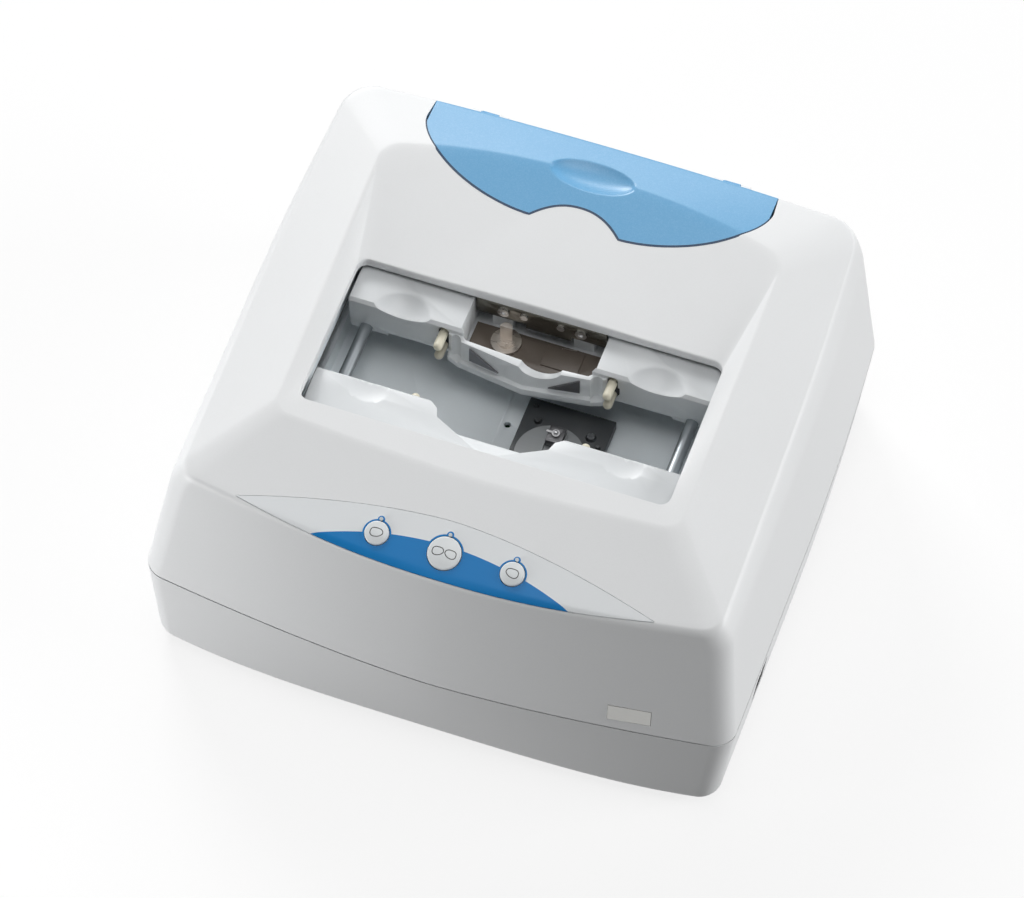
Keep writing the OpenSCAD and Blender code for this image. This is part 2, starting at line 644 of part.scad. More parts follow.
// ---- clamp fingers ---------------------------------------------------------------------
upper_z = slider_z - 6.4;
lower_z = slider_z - 15;
finger_travel = 2.3;
module fingers(y, z, dir, reach) {
    color([0.90, 0.88, 0.80]) for (x = [-1, 1]) translate([x * clamp_x, y, z])
        rotate([dir * 90, 0, 0]) {
            translate([0, 0, -7]) cylinder(r = finger_r, h = 7 + reach - finger_r);
            translate([0, 0, reach - finger_r]) sphere(r = finger_r);
        }
}
module front_upper_fingers() { fingers(-front_edge, upper_z, -1, 4.5); }
module front_lower_fingers() { fingers(-front_edge, lower_z, -1, 4.5); }
module rear_upper_fingers() { fingers(rear_edge, upper_z, 1, 9.5); }
module rear_lower_fingers() { fingers(rear_edge, lower_z, 1, 8.5); }

// ---- wire that makes the sliders open and close together ---------------------------------
module wire_pulley(y) {
    color(slate) translate([-wire_x, y, wire_z - 3]) difference() {
        union() {
            cylinder(r = wire_r + 0.7, h = 1.6);
            cylinder(r = wire_r - 0.3, h = 4.6);
            translate([0, 0, 3.4]) cylinder(r = wire_r + 0.7, h = 1.2);
        }
        translate([0, 0, -1]) cylinder(r = 1.5 + fit, h = 7);
        for (a = [0:90:270]) rotate(a) translate([3.3, 0, -1]) cylinder(r = 0.8, h = 7);
    }
}
module front_pulley() { wire_pulley(wire_ends[0]); }
module rear_pulley() { wire_pulley(wire_ends[1]); }

module stadium(len_y, r) {
    translate([-r, 0]) square([2 * r, len_y]);
    circle(r);
    translate([0, len_y]) circle(r);
}
module slider_wire() {
    color(steel) translate([-wire_x, wire_ends[0], wire_z - 0.9]) linear_extrude(0.8) difference() {
        stadium(wire_ends[1] - wire_ends[0], wire_r + 0.4);
        stadium(wire_ends[1] - wire_ends[0], wire_r - 0.2);
    }
}
module spring_drum() {
    color([0.25, 0.27, 0.30]) translate([-wire_x, -8, wire_z - 5]) difference() {
        cylinder(r = 4, h = 6.5);
        translate([0, 0, 1]) cylinder(r = 3.2, h = 6);
    }
    color(steel) translate([-wire_x, -8, wire_z - 5]) cylinder(r = 1.5, h = 6);
}

// ---- measuring unit --------------------------------------------------------------------
rail_z = 62;
rail_y = [-46, -16];
rail_half_l = seam_half_w - 37.5;
unit_travel = 2 * unit_x;
unit_top = deck_z + 6;
pulley_r = 6;
pulley_z = 60;
table_x = unit_x - 2;
motor_y = -30.5;
hub_r = 6;
spindle_r = 2.5;
pulley_x = rail_half_l - 9.6;
belt_y = -71;
shaft_r = 2.5;
lug_front = belt_y + pulley_r + 1.5;
module carriage_rails() {
    color(steel) for (y = rail_y) translate([-rail_half_l, y, rail_z]) rotate([0, 90, 0])
        cylinder(r = rail_r, h = 2 * rail_half_l);
}
module rail_blocks() {
    color(slate) for (x = [-1, 1]) difference() {
        translate([x * (rail_half_l - 6) - 5, rail_y[0] - 8, floor_z])
            cube([10, rail_y[1] - rail_y[0] + 16, rail_z - floor_z + rail_r + 4]);
        for (y = rail_y) translate([x * rail_half_l - 20, y, rail_z]) rotate([0, 90, 0])
            cylinder(r = rail_r + 0.02, h = 40);
        translate([x * (rail_half_l - 6) - 6, rail_y[0] + 8, floor_z + 6])
            cube([12, rail_y[1] - rail_y[0] - 16, 38]);
    }
}
module unit_carriage() {
    color(slate) difference() {
        union() {
            translate([unit_x - 20, rail_y[0] - 7, rail_z - 9])
                cube([40, rail_y[1] - rail_y[0] + 14, 17]);
            translate([unit_x - neck_half_w, slot_y[0] + 1, rail_z + 7])
                cube([2 * neck_half_w, slot_y[1] - slot_y[0] - 2, deck_z - rail_z - 6.5]);
            translate([unit_x - unit_w / 2 + 1.5, -35.5, deck_z + 0.5]) cube([unit_w - 3, 43, 1]);
            translate([unit_x - 5, lug_front, pulley_z + 1.4]) cube([10, rail_y[0] - 6 - lug_front, 3.2]);
        }
        for (y = rail_y) translate([unit_x - 21, y, rail_z]) rotate([0, 90, 0])
            cylinder(r = rail_r + fit, h = 42);
        translate([table_x, -table_y, deck_z]) cylinder(r = 3 + fit, h = 3);
        translate([table_x, motor_y, rail_z - 10]) cylinder(r = 1.5 + fit, h = 60);
    }
}
module unit_cover() {
    color([0.25, 0.26, 0.27]) difference() {
        translate([unit_x - unit_w / 2, -37, deck_z + 0.5]) cube([unit_w, 46, unit_top - deck_z - 0.5]);
        translate([unit_x - unit_w / 2 + 1.5, -35.5, deck_z]) cube([unit_w - 3, 43, unit_top - deck_z - 1.5]);
        translate([table_x, -table_y, deck_z]) cylinder(r = 5 + fit, h = 10);
    }
}
module unit_screws() {
    color([0.30, 0.31, 0.32]) for (p = [[-13.5, -2.6, 2], [12.7, -3.4, 2.6], [17.5, -7.5, 1.3], [-17, 5, 1.3]])
        translate([unit_x + p[0], p[1], unit_top]) cylinder(r1 = p[2], r2 = p[2] * 0.7, h = 1.2);
}
module turntable() {
    color([0.48, 0.49, 0.50]) translate([table_x, -table_y, 0]) {
        translate([0, 0, unit_top + 0.25]) cylinder(r = table_r, h = 1.5);
        translate([0, 0, deck_z + 2]) cylinder(r = 5, h = unit_top - deck_z - 1.6);
        translate([0, 0, deck_z + 2]) cylinder(r = hub_r, h = 2.2);
        translate([0, 0, deck_z + 0.5]) cylinder(r = 3, h = 2);
    }
    color([0.42, 0.43, 0.44]) for (s = [-1, 1]) translate([table_x + s * 4.4 - 0.4, -table_y - 12, unit_top + 1.5])
        cube([0.8, 24, 1.5]);
}
module stylus_carriage() {
    color([0.60, 0.61, 0.62]) difference() {
        translate([table_x - 3.8, -table_y + 4.8, unit_top + 1.9]) cube([7.6, 9, 4.2]);
        translate([table_x, -table_y + 9.4, unit_top]) cylinder(r = 1.2 + fit, h = 10);
    }
}
module stylus_shaft() {
    color([0.80, 0.80, 0.81]) translate([table_x, -table_y + 9.4, unit_top + 2]) {
        cylinder(r = 1.2, h = 5.2);
        translate([0, 0, 4.3]) cylinder(r = 1.9, h = 0.8);
        translate([0, 0, 5.4]) sphere(r = 1.1);
        translate([-4.6, -0.5, 4.3]) cube([4.6, 1, 0.8]);
    }
}
module table_motor() {
    color([0.20, 0.20, 0.22]) translate([table_x, motor_y, rail_z - 9 - 22]) difference() {
        cylinder(r = 11, h = 21.8);
        translate([0, 0, 10]) cylinder(r = 1.5 + fit, h = 13);
    }
}
module table_pulley() {
    color([0.75, 0.70, 0.55]) translate([table_x, motor_y, 0]) {
        translate([0, 0, rail_z - 18]) cylinder(r = 1.5, h = deck_z + 3 - rail_z + 18);
        translate([0, 0, deck_z + 2]) cylinder(r = spindle_r, h = 2.2);
    }
}
module table_belt() {
    color([0.12, 0.12, 0.12]) translate([table_x, 0, deck_z + 2.2]) linear_extrude(1.8) difference() {
        hull() {
            translate([0, -table_y]) circle(hub_r + 0.75, $fn = 32);
            translate([0, motor_y]) circle(spindle_r + 0.75, $fn = 32);
        }
        hull() {
            translate([0, -table_y]) circle(hub_r + 0.1, $fn = 32);
            translate([0, motor_y]) circle(spindle_r + 0.1, $fn = 32);
        }
    }
}

// ---- drive that carries the unit from rim to rim -------------------------------------------
motor_w = 30;
motor_h = 44;
module belt_pulley(x) {
    color([0.75, 0.70, 0.55]) translate([x, belt_y, pulley_z]) difference() {
        union() {
            cylinder(r = pulley_r + 1.5, h = 1);
            cylinder(r = pulley_r - 0.2, h = 6);
            translate([0, 0, 5]) cylinder(r = pulley_r + 1.5, h = 1);
        }
        translate([0, 0, -1]) cylinder(r = shaft_r + fit, h = 9);
    }
}
module motor_pulley() { belt_pulley(pulley_x); }
module idler_pulley() { belt_pulley(-pulley_x); }
module drive_belt() {
    color([0.12, 0.12, 0.12]) translate([pulley_x, belt_y, pulley_z + 1.2]) rotate(90)
        linear_extrude(3.6) difference() {
            stadium(2 * pulley_x, pulley_r + 1.2);
            stadium(2 * pulley_x, pulley_r);
        }
}
module drive_motor() {
    color([0.16, 0.16, 0.18]) {
        translate([pulley_x - motor_w / 2, belt_y - motor_w / 2, floor_z])
            cube([motor_w, motor_w, motor_h]);
    }
    color(steel) translate([pulley_x, belt_y, floor_z + motor_h]) cylinder(r = shaft_r, h = pulley_z + 7 - floor_z - motor_h);
}

// ---- electronics and connections --------------------------------------------------------
module main_board() {
    color([0.13, 0.42, 0.25]) translate([-board_half_w, 31, board_z])
        cube([2 * board_half_w, 66, 1.6]);
}
module board_chips() {
    color([0.14, 0.14, 0.15]) {
        translate([-28, 48, board_z + 1.6]) cube([20, 20, 2.4]);
        for (x = [2:14:30]) translate([x, 52, board_z + 1.6]) cube([8, 18, 2]);
        for (x = [-26:16:22]) translate([x, 86, board_z + 1.6]) cylinder(r = 4, h = 11);
    }
}
supply_w = 30;
supply_l = 92;
supply_h = 34;
supply_x = 19.5 - seam_half_w;
supply_y = 4;
module power_supply() {
    color([0.70, 0.71, 0.72]) difference() {
        translate([supply_x, supply_y, floor_z]) cube([supply_w, supply_l, supply_h]);
        for (i = [1:9]) translate([supply_x + 5, supply_y + i * supply_l / 10 - 1.5, floor_z + supply_h - 4])
            cube([supply_w - 10, 3, 6]);
    }
}
module power_inlet() {
    color([0.10, 0.10, 0.11]) difference() {
        translate([inlet_x - inlet_w / 2, back_face_y - 22, inlet_z - inlet_h / 2])
            cube([inlet_w, 20.4, inlet_h]);
        translate([inlet_x - 12, back_face_y - 16, inlet_z - 8]) cube([24, 20, 16]);
    }
    color(steel) for (p = [[-7, 1], [7, 1], [0, -3]]) translate([inlet_x + p[0] - 1, back_face_y - 17, inlet_z + p[1] - 2])
        cube([2, 12, 4]);
}
module serial_port() {
    color([0.45, 0.47, 0.5]) difference() {
        translate([port_x - port_w / 2, back_face_y - 18, port_z - port_h / 2])
            cube([port_w, 16.4, port_h]);
        translate([port_x - 9, back_face_y - 9, port_z - 4]) cube([18, 10, 8]);
    }
    color(steel) for (i = [-2:2]) translate([port_x + i * 2.8, back_face_y - 10, port_z])
        rotate([-90, 0, 0]) cylinder(r = 0.5, h = 6);
}
module switch_bezel() {
    color([0.12, 0.12, 0.13]) difference() {
        translate([side_face_x - 14, switch_y - switch_w / 2, switch_z - switch_h / 2])
            cube([12.6, switch_w, switch_h]);
        translate([side_face_x - 11, switch_y - switch_w / 2 + 1.5, switch_z - switch_h / 2 + 1.5])
            cube([20, switch_w - 3, switch_h - 3]);
        translate([rocker_x, switch_y, switch_z]) rotate([90, 0, 0])
            cylinder(r = 1 + fit, h = 13.6, center = true);
    }
}
rocker_x = side_face_x - 6.5;
module power_switch() {
    color([0.16, 0.16, 0.17]) translate([rocker_x, switch_y, switch_z]) rotate([90, 0, 0]) {
        cylinder(r = 1, h = 13.4, center = true);
        translate([0, 0, -5.6]) linear_extrude(11.2)
            polygon([[-1.6, -2], [1.5, -8.2], [4, -8], [2.9, 0], [4, 8], [1.5, 8.2], [-1.6, 2]]);
    }
}
module housing_screws() {
    color(steel) for (x = [-1, 1], y = post_y) translate([x * post_x, y, deck_z]) {
        cylinder(r = 2.8, h = 1.8);
    }
}

base_tray();
rubber_feet();
upper_cover();
panel_overlay();
panel_board();
indicator_lenses();
blank_plate();
button_left();
button_start();
button_right();
rear_lid();
lid_knuckles();
hinge_brackets();
lid_hinge_pins();
storage_box();
well_tub();
slider_rods();
rod_blocks();
front_slider();
rear_slider();
insert_plates();
template_bracket();
bracket_screws();
template_floor();
template_feeler();
front_upper_fingers();
front_lower_fingers();
rear_upper_fingers();
rear_lower_fingers();
front_pulley();
rear_pulley();
slider_wire();
spring_drum();
carriage_rails();
rail_blocks();
unit_carriage();
unit_cover();
unit_screws();
turntable();
stylus_carriage();
stylus_shaft();
table_motor();
table_pulley();
table_belt();
drive_motor();
motor_pulley();
idler_pulley();
drive_belt();
main_board();
board_chips();
power_supply();
power_inlet();
serial_port();
switch_bezel();
power_switch();
housing_screws();
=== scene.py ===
# %% [markdown]
# A frame tracer, dressed for its portrait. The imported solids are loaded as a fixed
# frame. The housing, the lid, the printed overlay and the button caps get smooth
# surfaces of their own, worked out with numpy from the same measures; other solids in
# view get copies with soft edges, and the rest keep their shape. All get a finish made
# of nodes. Lengths are in millimetres unless they say otherwise, and MM turns them into
# Blender's metres.
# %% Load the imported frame
import json
import math
import bpy
import bmesh
import numpy as np
from mathutils import Matrix, Vector
from mathutils.bvhtree import BVHTree

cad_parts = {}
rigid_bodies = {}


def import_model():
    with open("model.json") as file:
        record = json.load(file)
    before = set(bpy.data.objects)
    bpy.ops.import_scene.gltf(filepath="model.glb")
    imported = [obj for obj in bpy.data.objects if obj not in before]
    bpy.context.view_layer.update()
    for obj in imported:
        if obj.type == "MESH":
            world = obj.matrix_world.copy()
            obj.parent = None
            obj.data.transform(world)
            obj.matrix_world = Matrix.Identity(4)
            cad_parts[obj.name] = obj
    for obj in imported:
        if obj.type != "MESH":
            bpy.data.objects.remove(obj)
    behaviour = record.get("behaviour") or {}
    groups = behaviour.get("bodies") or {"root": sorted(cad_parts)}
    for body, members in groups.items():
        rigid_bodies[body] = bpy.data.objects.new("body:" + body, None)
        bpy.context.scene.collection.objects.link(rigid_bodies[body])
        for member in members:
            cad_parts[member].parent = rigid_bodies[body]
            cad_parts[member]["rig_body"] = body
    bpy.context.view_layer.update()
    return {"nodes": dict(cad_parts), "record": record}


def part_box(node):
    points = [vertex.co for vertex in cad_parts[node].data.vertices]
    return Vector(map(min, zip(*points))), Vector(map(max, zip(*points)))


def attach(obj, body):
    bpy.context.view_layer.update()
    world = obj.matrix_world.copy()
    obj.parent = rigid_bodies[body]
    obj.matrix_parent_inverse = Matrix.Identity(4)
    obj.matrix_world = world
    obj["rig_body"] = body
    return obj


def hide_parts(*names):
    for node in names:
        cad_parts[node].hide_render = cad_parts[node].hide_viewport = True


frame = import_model()
nodes = frame["nodes"]
MM = 0.001
scene = bpy.context.scene

# %% [markdown]
# The photograph was taken with a long lens from high up, in front and a little to the
# right. The focal length and the rise are chosen values; the turn follows from the rise
# and from the slope of the picture's left-to-right lines, and the place was fitted to
# mirrored pairs of features. The camera comes first, because the scribed corner is put
# on the object by shooting rays through the places where the picture shows it.
# %% Camera
VIEW_TURN = math.radians(19.5917)
VIEW_RISE = math.radians(57.0)
W, H = 1024, 898
SENSOR = 36.0
FOCAL_PIXELS = 5500.0
CAMERA_PLACE = (0.46764, -1.324455, 2.219918)
RAY_SEARCH = (2.2, 2.8, 0.004)
camera_data = bpy.data.cameras.new("camera")
camera_data.sensor_fit = "AUTO"
camera_data.sensor_width = SENSOR
camera_data.lens = FOCAL_PIXELS * SENSOR / W
camera_data.clip_start, camera_data.clip_end = 0.05, 50.0
camera = bpy.data.objects.new("camera", camera_data)
scene.collection.objects.link(camera)
back = Vector((math.sin(VIEW_TURN) * math.cos(VIEW_RISE),
               -math.cos(VIEW_TURN) * math.cos(VIEW_RISE), math.sin(VIEW_RISE)))
right = Vector((math.cos(VIEW_TURN), math.sin(VIEW_TURN), 0.0))
up = back.cross(right)
turn = Matrix((right, up, back)).transposed()
camera.matrix_world = Matrix.Translation(CAMERA_PLACE) @ turn.to_4x4()
scene.camera = camera
print("lens", round(camera_data.lens, 2), "mm")

# %% [markdown]
# Image points, in the photograph's pixels. They began as places read off the photograph
# and were then moved to where the finished scene shows each named thing.
# %% Image points
POINTS = {
    "left": (148.0, 560.0), "right": (874.5, 344.1), "top": (374.9, 86.0),
    "bottom": (700.1, 796.9),
    "button_left": (376.8, 530.0), "button_start": (444.7, 548.9),
    "button_right": (512.5, 571.1), "blank_plate": (629.2, 715.0),
    "overlay_left": (236.5, 495.6), "overlay_right": (653.8, 622.1),
    "bracket_screw_left": (503.0, 313.3), "bracket_screw_right": (580.5, 336.1),
    "pin_left": (437.9, 346.9), "pin_right": (607.1, 397.0),
    "stylus": (553.1, 432.9), "slider_edge_left": (317.9, 366.8),
    "lid_left": (426.9, 122.1), "lid_dimple": (593.0, 179.5),
}


def project(points):
    """Pixels of points: their places in the camera's axes, divided by their depths and
    scaled by the focal length counted in pixels."""
    m = np.array(camera.matrix_world.inverted())
    q = np.asarray(points) @ m[:3, :3].T + m[:3, 3]
    return np.stack([W / 2 + FOCAL_PIXELS * q[:, 0] / -q[:, 2],
                     H / 2 - FOCAL_PIXELS * q[:, 1] / -q[:, 2]], axis=1)


def tree_of(obj):
    """A search tree over an object's finished surface, in the world."""
    shape = obj.evaluated_get(bpy.context.evaluated_depsgraph_get())
    mesh = shape.to_mesh()
    tree = BVHTree.FromPolygons([obj.matrix_world @ v.co for v in mesh.vertices],
                                [p.vertices[:] for p in mesh.polygons])
    shape.to_mesh_clear()
    return tree


def on_surface(tree, pixel):
    """The point where the ray through a pixel meets a surface; a miss takes the place
    nearest the ray."""
    x, y = pixel
    L = max(W, H)
    shift_x, shift_y = camera_data.shift_x, camera_data.shift_y
    ray = Vector((x - W / 2 + shift_x * L, H / 2 - y + shift_y * L,
                  -L * camera_data.lens / camera_data.sensor_width))
    ray = (camera.matrix_world.to_3x3() @ ray).normalized()
    start = camera.matrix_world.translation
    hit = tree.ray_cast(start, ray)[0]
    if hit is None:
        spots = [tree.find_nearest(start + ray * d) for d in np.arange(*RAY_SEARCH)]
        hit = min(spots, key=lambda s: s[3])[0]
    return hit


print("image points:", len(POINTS))

# %% [markdown]
# The moulded housing is a loft. Each level is a rounded rectangle whose front and back
# bow outwards, and the wall runs straight from one level to the next, with the fold
# between two slopes rounded by a Bezier curve. Working the levels out as whole arrays
# keeps the shoulder band perfectly smooth, which a box with a bevel can't do.
# %% One level of the housing
ARC_STEPS = 14
SIDE_STEPS = 56
FIELDS = ("half_w", "front", "front_bow", "bow_power", "back", "back_bow",
          "front_r", "back_r", "front_z", "back_z", "taper")


def arc(cx, cy, r, start):
    """A quarter circle about (cx, cy): centre plus radius times cosine and sine."""
    a = np.radians(start + 90 * np.linspace(0, 1, ARC_STEPS + 1))
    return np.stack([cx + r * np.cos(a), cy + r * np.sin(a)], axis=1)


def line_between(a, b):
    """Evenly spaced points strictly between a and b."""
    t = (np.arange(1, SIDE_STEPS + 1) / (SIDE_STEPS + 1))[:, None]
    return a + (b - a) * t


def level(r):
    """Rounded rectangle, then bowed: y moves back by bow times |x / half width| to the
    bow power, x narrows with the square of y, and z rises evenly from front to back."""
    w, yf, yb, rf, rb = r["half_w"], r["front"], r["back"], r["front_r"], r["back_r"]
    fr, br = arc(w - rf, rf - yf, rf, -90), arc(w - rb, yb - rb, rb, 0)
    bl, fl = arc(rb - w, yb - rb, rb, 90), arc(rf - w, rf - yf, rf, 180)
    p = np.concatenate([fr, line_between(fr[-1], br[0]), br, line_between(br[-1], bl[0]),
                        bl, line_between(bl[-1], fl[0]), fl, line_between(fl[-1], fr[0])])
    t = (p[:, 1] - (yb - yf) / 2) / ((yb + yf) / 2)
    u = np.minimum(1, np.abs(p[:, 0]) / w)
    drop = np.where(t < 0, r["front_bow"] * u ** r["bow_power"], -r["back_bow"] * u ** 2.2)
    y = p[:, 1] + drop * np.abs(t)
    x = p[:, 0] * (1 - r["taper"] / w * np.maximum(0, t) ** 2)
    z = r["front_z"] + (r["back_z"] - r["front_z"]) * (y + yf) / (yb + yf)
    return np.stack([x, y, z], axis=1)


def ring(*values):
    """A level's measures by name."""
    return dict(zip(FIELDS, values))


def drawn_in(r, d, h):
    """The same level drawn in by d all round and lowered by h."""
    out = dict(r)
    for key in ("half_w", "front", "back"):
        out[key] = r[key] - d
    for key in ("front_r", "back_r"):
        out[key] = max(1, r[key] - d)
    for key in ("front_z", "back_z"):
        out[key] = r[key] - h
    return out


SEAM = ring(143.5, 132, 13.5, 1.6, 132, 5, 10, 15, 52, 52, 6)
BASE = ring(138.5, 129, 8, 3.5, 127, 4, 9, 14, 6.5, 6.5, 5)
SOLE = drawn_in(BASE, 3, 3.5)
SKIRT = drawn_in(SEAM, 0.1, -0.8)
LOW = ring(135, 116.4, 15, 1.6, 127.5, 5, 10, 14, 105, 125.5, 6)
HIGH = ring(130, 114, 14.5, 1.6, 123.5, 3, 9, 14, 113.5, 138.5, 4)
RIM = ring(98, 66.7, 5, 1.6, 102, 15, 8, 9, 129.5, 142.5, 0)
MOUTH = ring(89, 52, 0, 1, 30, 0, 5, 5, 130.6, 130.6, 0)
WALL, LIP_H, LIP_T = 3.0, 4.4, 2.6
print("points in a level:", len(level(SEAM)))

# %% Lofting the levels


def fold(a, f, b, from_a, to_b, steps=9):
    """Rounded fold: a quadratic Bezier from part way to a, past f, to part way to b."""
    start, end = f + (a - f) * from_a, f + (b - f) * to_b
    t = np.linspace(0, 1, steps)[:, None, None]
    return (1 - t) ** 2 * start + 2 * t * (1 - t) * f + t ** 2 * end


def straight(a, b, steps):
    """Even steps from a to b, without the two ends."""
    t = (np.arange(1, steps + 1) / (steps + 1))[:, None, None]
    return a + (b - a) * t


def outer_levels(rows=34):
    """The cover's outside from seam to mouth."""
    skirt, low, high, rim, mouth = [level(r) for r in (SKIRT, LOW, HIGH, RIM, MOUTH)]
    a = fold(skirt, low, high, 0.06, 0.35)
    b = fold(low, high, rim, 0.35, 0.05)
    c = fold(high, rim, mouth, 0.05, 0.1)
    return np.concatenate([skirt[None], straight(skirt, a[0], 8), a, straight(a[-1], b[0], 3),
                           b, straight(b[-1], c[0], rows // 2), c,
                           straight(c[-1], mouth, rows), mouth[None]])


def mesh_from(name, points, faces, materials=()):
    """A new object from points in millimetres and faces, at the origin."""
    mesh = bpy.data.meshes.new(name)
    mesh.from_pydata((np.asarray(points) * MM).tolist(), [],
                     faces.tolist() if isinstance(faces, np.ndarray) else faces)
    mesh.validate()
    obj = bpy.data.objects.new(name, mesh)
    scene.collection.objects.link(obj)
    for m in materials:
        mesh.materials.append(m)
    return obj


def grid_faces(rows, cols, wrap_rows=False, wrap_cols=False):
    """Four-cornered faces of a grid, optionally closed round either way."""
    i = np.arange(rows if wrap_rows else rows - 1)
    j = np.arange(cols if wrap_cols else cols - 1)
    i, j = np.meshgrid(i, j, indexing="ij")
    i1, j1 = (i + 1) % rows, (j + 1) % cols
    return np.stack([i * cols + j, i * cols + j1, i1 * cols + j1, i1 * cols + j],
                    axis=-1).reshape(-1, 4)


def circle(steps):
    """Angles of evenly spaced points round a circle."""
    return np.linspace(0, 2 * math.pi, steps, endpoint=False)


def to_the_right(along):
    """Unit steps at right angles to the way ahead, to its right in plan."""
    out = np.c_[along[:, 1], -along[:, 0]]
    return out / np.linalg.norm(out, axis=1)[:, None]


def tube_faces(n):
    """Side walls and both ends of a closed column whose points are two rings of n."""
    k = np.arange(n)
    walls = np.stack([k, (k + 1) % n, (k + 1) % n + n, k + n], axis=1)
    return walls.tolist() + [k[::-1].tolist(), (k + n).tolist()]


def fan(centre, a, b):
    """Triangles from one centre point to each pair of rim points."""
    return np.stack([np.full(len(a), centre), a, b], axis=1).tolist()


def smooth(obj, angle):
    """Smooth shading, with edges sharper than the angle kept crisp."""
    obj.data.polygons.foreach_set("use_smooth", np.ones(len(obj.data.polygons), bool))
    obj.data.set_sharp_from_angle(angle=math.radians(angle))
    return obj


def finish_modifiers(obj):
    """Bakes an object's modifiers into its mesh."""
    shape = obj.evaluated_get(bpy.context.evaluated_depsgraph_get())
    mesh = bpy.data.meshes.new_from_object(shape)
    obj.modifiers.clear()
    old = obj.data
    obj.data = mesh
    mesh.name = old.name
    bpy.data.meshes.remove(old)
    return obj


def carve(obj, cutters):
    """Takes the cutters' shapes away from the object and removes the cutters."""
    for c in cutters:
        m = obj.modifiers.new("cut", "BOOLEAN")
        m.operation, m.solver, m.object = "DIFFERENCE", "EXACT", c
    finish_modifiers(obj)
    for c in cutters:
        bpy.data.objects.remove(c)
    return obj


def prism(name, outline, low, high):
    """A closed column over a plan outline that runs anticlockwise, between two heights."""
    n = len(outline)
    pts = np.concatenate([np.c_[outline, np.full(n, low)], np.c_[outline, np.full(n, high)]])
    return mesh_from(name, pts, tube_faces(n))


def block(name, corner, size):
    """A closed box from its low corner and its size."""
    x, y, z = corner
    a, b, c = size
    return prism(name, np.array([[x, y], [x + a, y], [x + a, y + b], [x, y + b]]), z, z + c)


PAD_HALF_W, PAD_START, PAD_REACH, PAD_RISE = 53.5, 22.0, 62.5, 1.4


def with_pad(levels):
    """The slope behind the opening, raised by rise times (1 - |x / half width|^1.5 -
    |(y - start) / reach|^1.5) where that is above zero, and only behind the middle."""
    x, y = levels[..., 0], levels[..., 1]
    f = np.abs(x / PAD_HALF_W) ** 1.5 + np.abs((y - PAD_START) / PAD_REACH) ** 1.5
    out = levels.copy()
    out[..., 2] += np.where(y > PAD_START, PAD_RISE * np.clip(1 - f, 0, 1), 0)
    return out


rows_out = with_pad(outer_levels())
print("outer levels:", rows_out.shape)

# %% [markdown]
# Finishes. A moulded housing isn't one flat white: it has a fine grain that catches
# light, a trace of unevenness and slightly duller places. Effects that several
# finishes share are node groups with named sockets, so each finish can set its own
# strength; the shader itself stays in each material.
# %% Node helpers


def feed(tree, socket, v):
    """Gives a socket a plain number, a colour or another socket's value."""
    if isinstance(v, (int, float)):
        socket.default_value = v
    elif isinstance(v, tuple):
        socket.default_value = (*v, 1.0)
    else:
        tree.links.new(v, socket)


def wire(tree, node, **values):
    """Feeds a node's inputs by name, with an underscore for each space."""
    for key, v in values.items():
        feed(tree, node.inputs[key.replace("_", " ")], v)


def new_group(name, inputs, outputs):
    """A shader node group. An input that starts as a number is a float socket, any
    other a colour; of the outputs only Colour is a colour."""
    g = bpy.data.node_groups.new(name, "ShaderNodeTree")
    for key, value in inputs.items():
        colour = isinstance(value, tuple)
        socket = g.interface.new_socket(name=key, in_out="INPUT", socket_type=(
            "NodeSocketColor" if colour else "NodeSocketFloat"))
        socket.default_value = (*value, 1.0) if colour else value
    for key in outputs:
        g.interface.new_socket(name=key, in_out="OUTPUT", socket_type=(
            "NodeSocketColor" if key == "Colour" else "NodeSocketFloat"))
    return g, g.nodes.new("NodeGroupInput"), g.nodes.new("NodeGroupOutput")


def placed(tree, group, **values):
    """A group placed in a material with its own values."""
    n = tree.nodes.new("ShaderNodeGroup")
    n.node_tree = group
    wire(tree, n, **values)
    return n


def object_place(tree):
    """The place on the object, in its own coordinates."""
    return tree.nodes.new("ShaderNodeTexCoord").outputs["Object"]


def maths(tree, op, a, b=None, clamp=False):
    """One Math node fed by sockets or plain numbers."""
    n = tree.nodes.new("ShaderNodeMath")
    n.operation, n.use_clamp = op, clamp
    feed(tree, n.inputs[0], a)
    if b is not None:
        feed(tree, n.inputs[1], b)
    return n.outputs[0]


def swing(tree, value, amount):
    """A noise moved to lie round zero, times an amount."""
    return maths(tree, "MULTIPLY", maths(tree, "SUBTRACT", value, 0.5), amount)


def blend_colour(tree, factor, a, b, kind="MIX"):
    """One colour mixed over another."""
    n = tree.nodes.new("ShaderNodeMix")
    n.data_type, n.blend_type = "RGBA", kind
    for socket, v in ((n.inputs[0], factor), (n.inputs[6], a), (n.inputs[7], b)):
        feed(tree, socket, v)
    return n.outputs[2]


def tinted(tree, colour, light):
    """A colour times a lightness."""
    tone = tree.nodes.new("ShaderNodeCombineColor")
    for k in range(3):
        tree.links.new(light, tone.inputs[k])
    return blend_colour(tree, 1.0, colour, tone.outputs[0], "MULTIPLY")


def noise(tree, place, scale, detail=3.0, rough=0.5):
    """Fractal noise at a scale counted in features per metre."""
    n = tree.nodes.new("ShaderNodeTexNoise")
    wire(tree, n, Vector=place, Scale=scale, Detail=detail, Roughness=rough)
    return n.outputs["Fac"]


def bump(tree, height, strength, distance):
    """A Bump node on a height."""
    n = tree.nodes.new("ShaderNodeBump")
    wire(tree, n, Height=height, Strength=strength, Distance=distance)
    return n.outputs["Normal"]


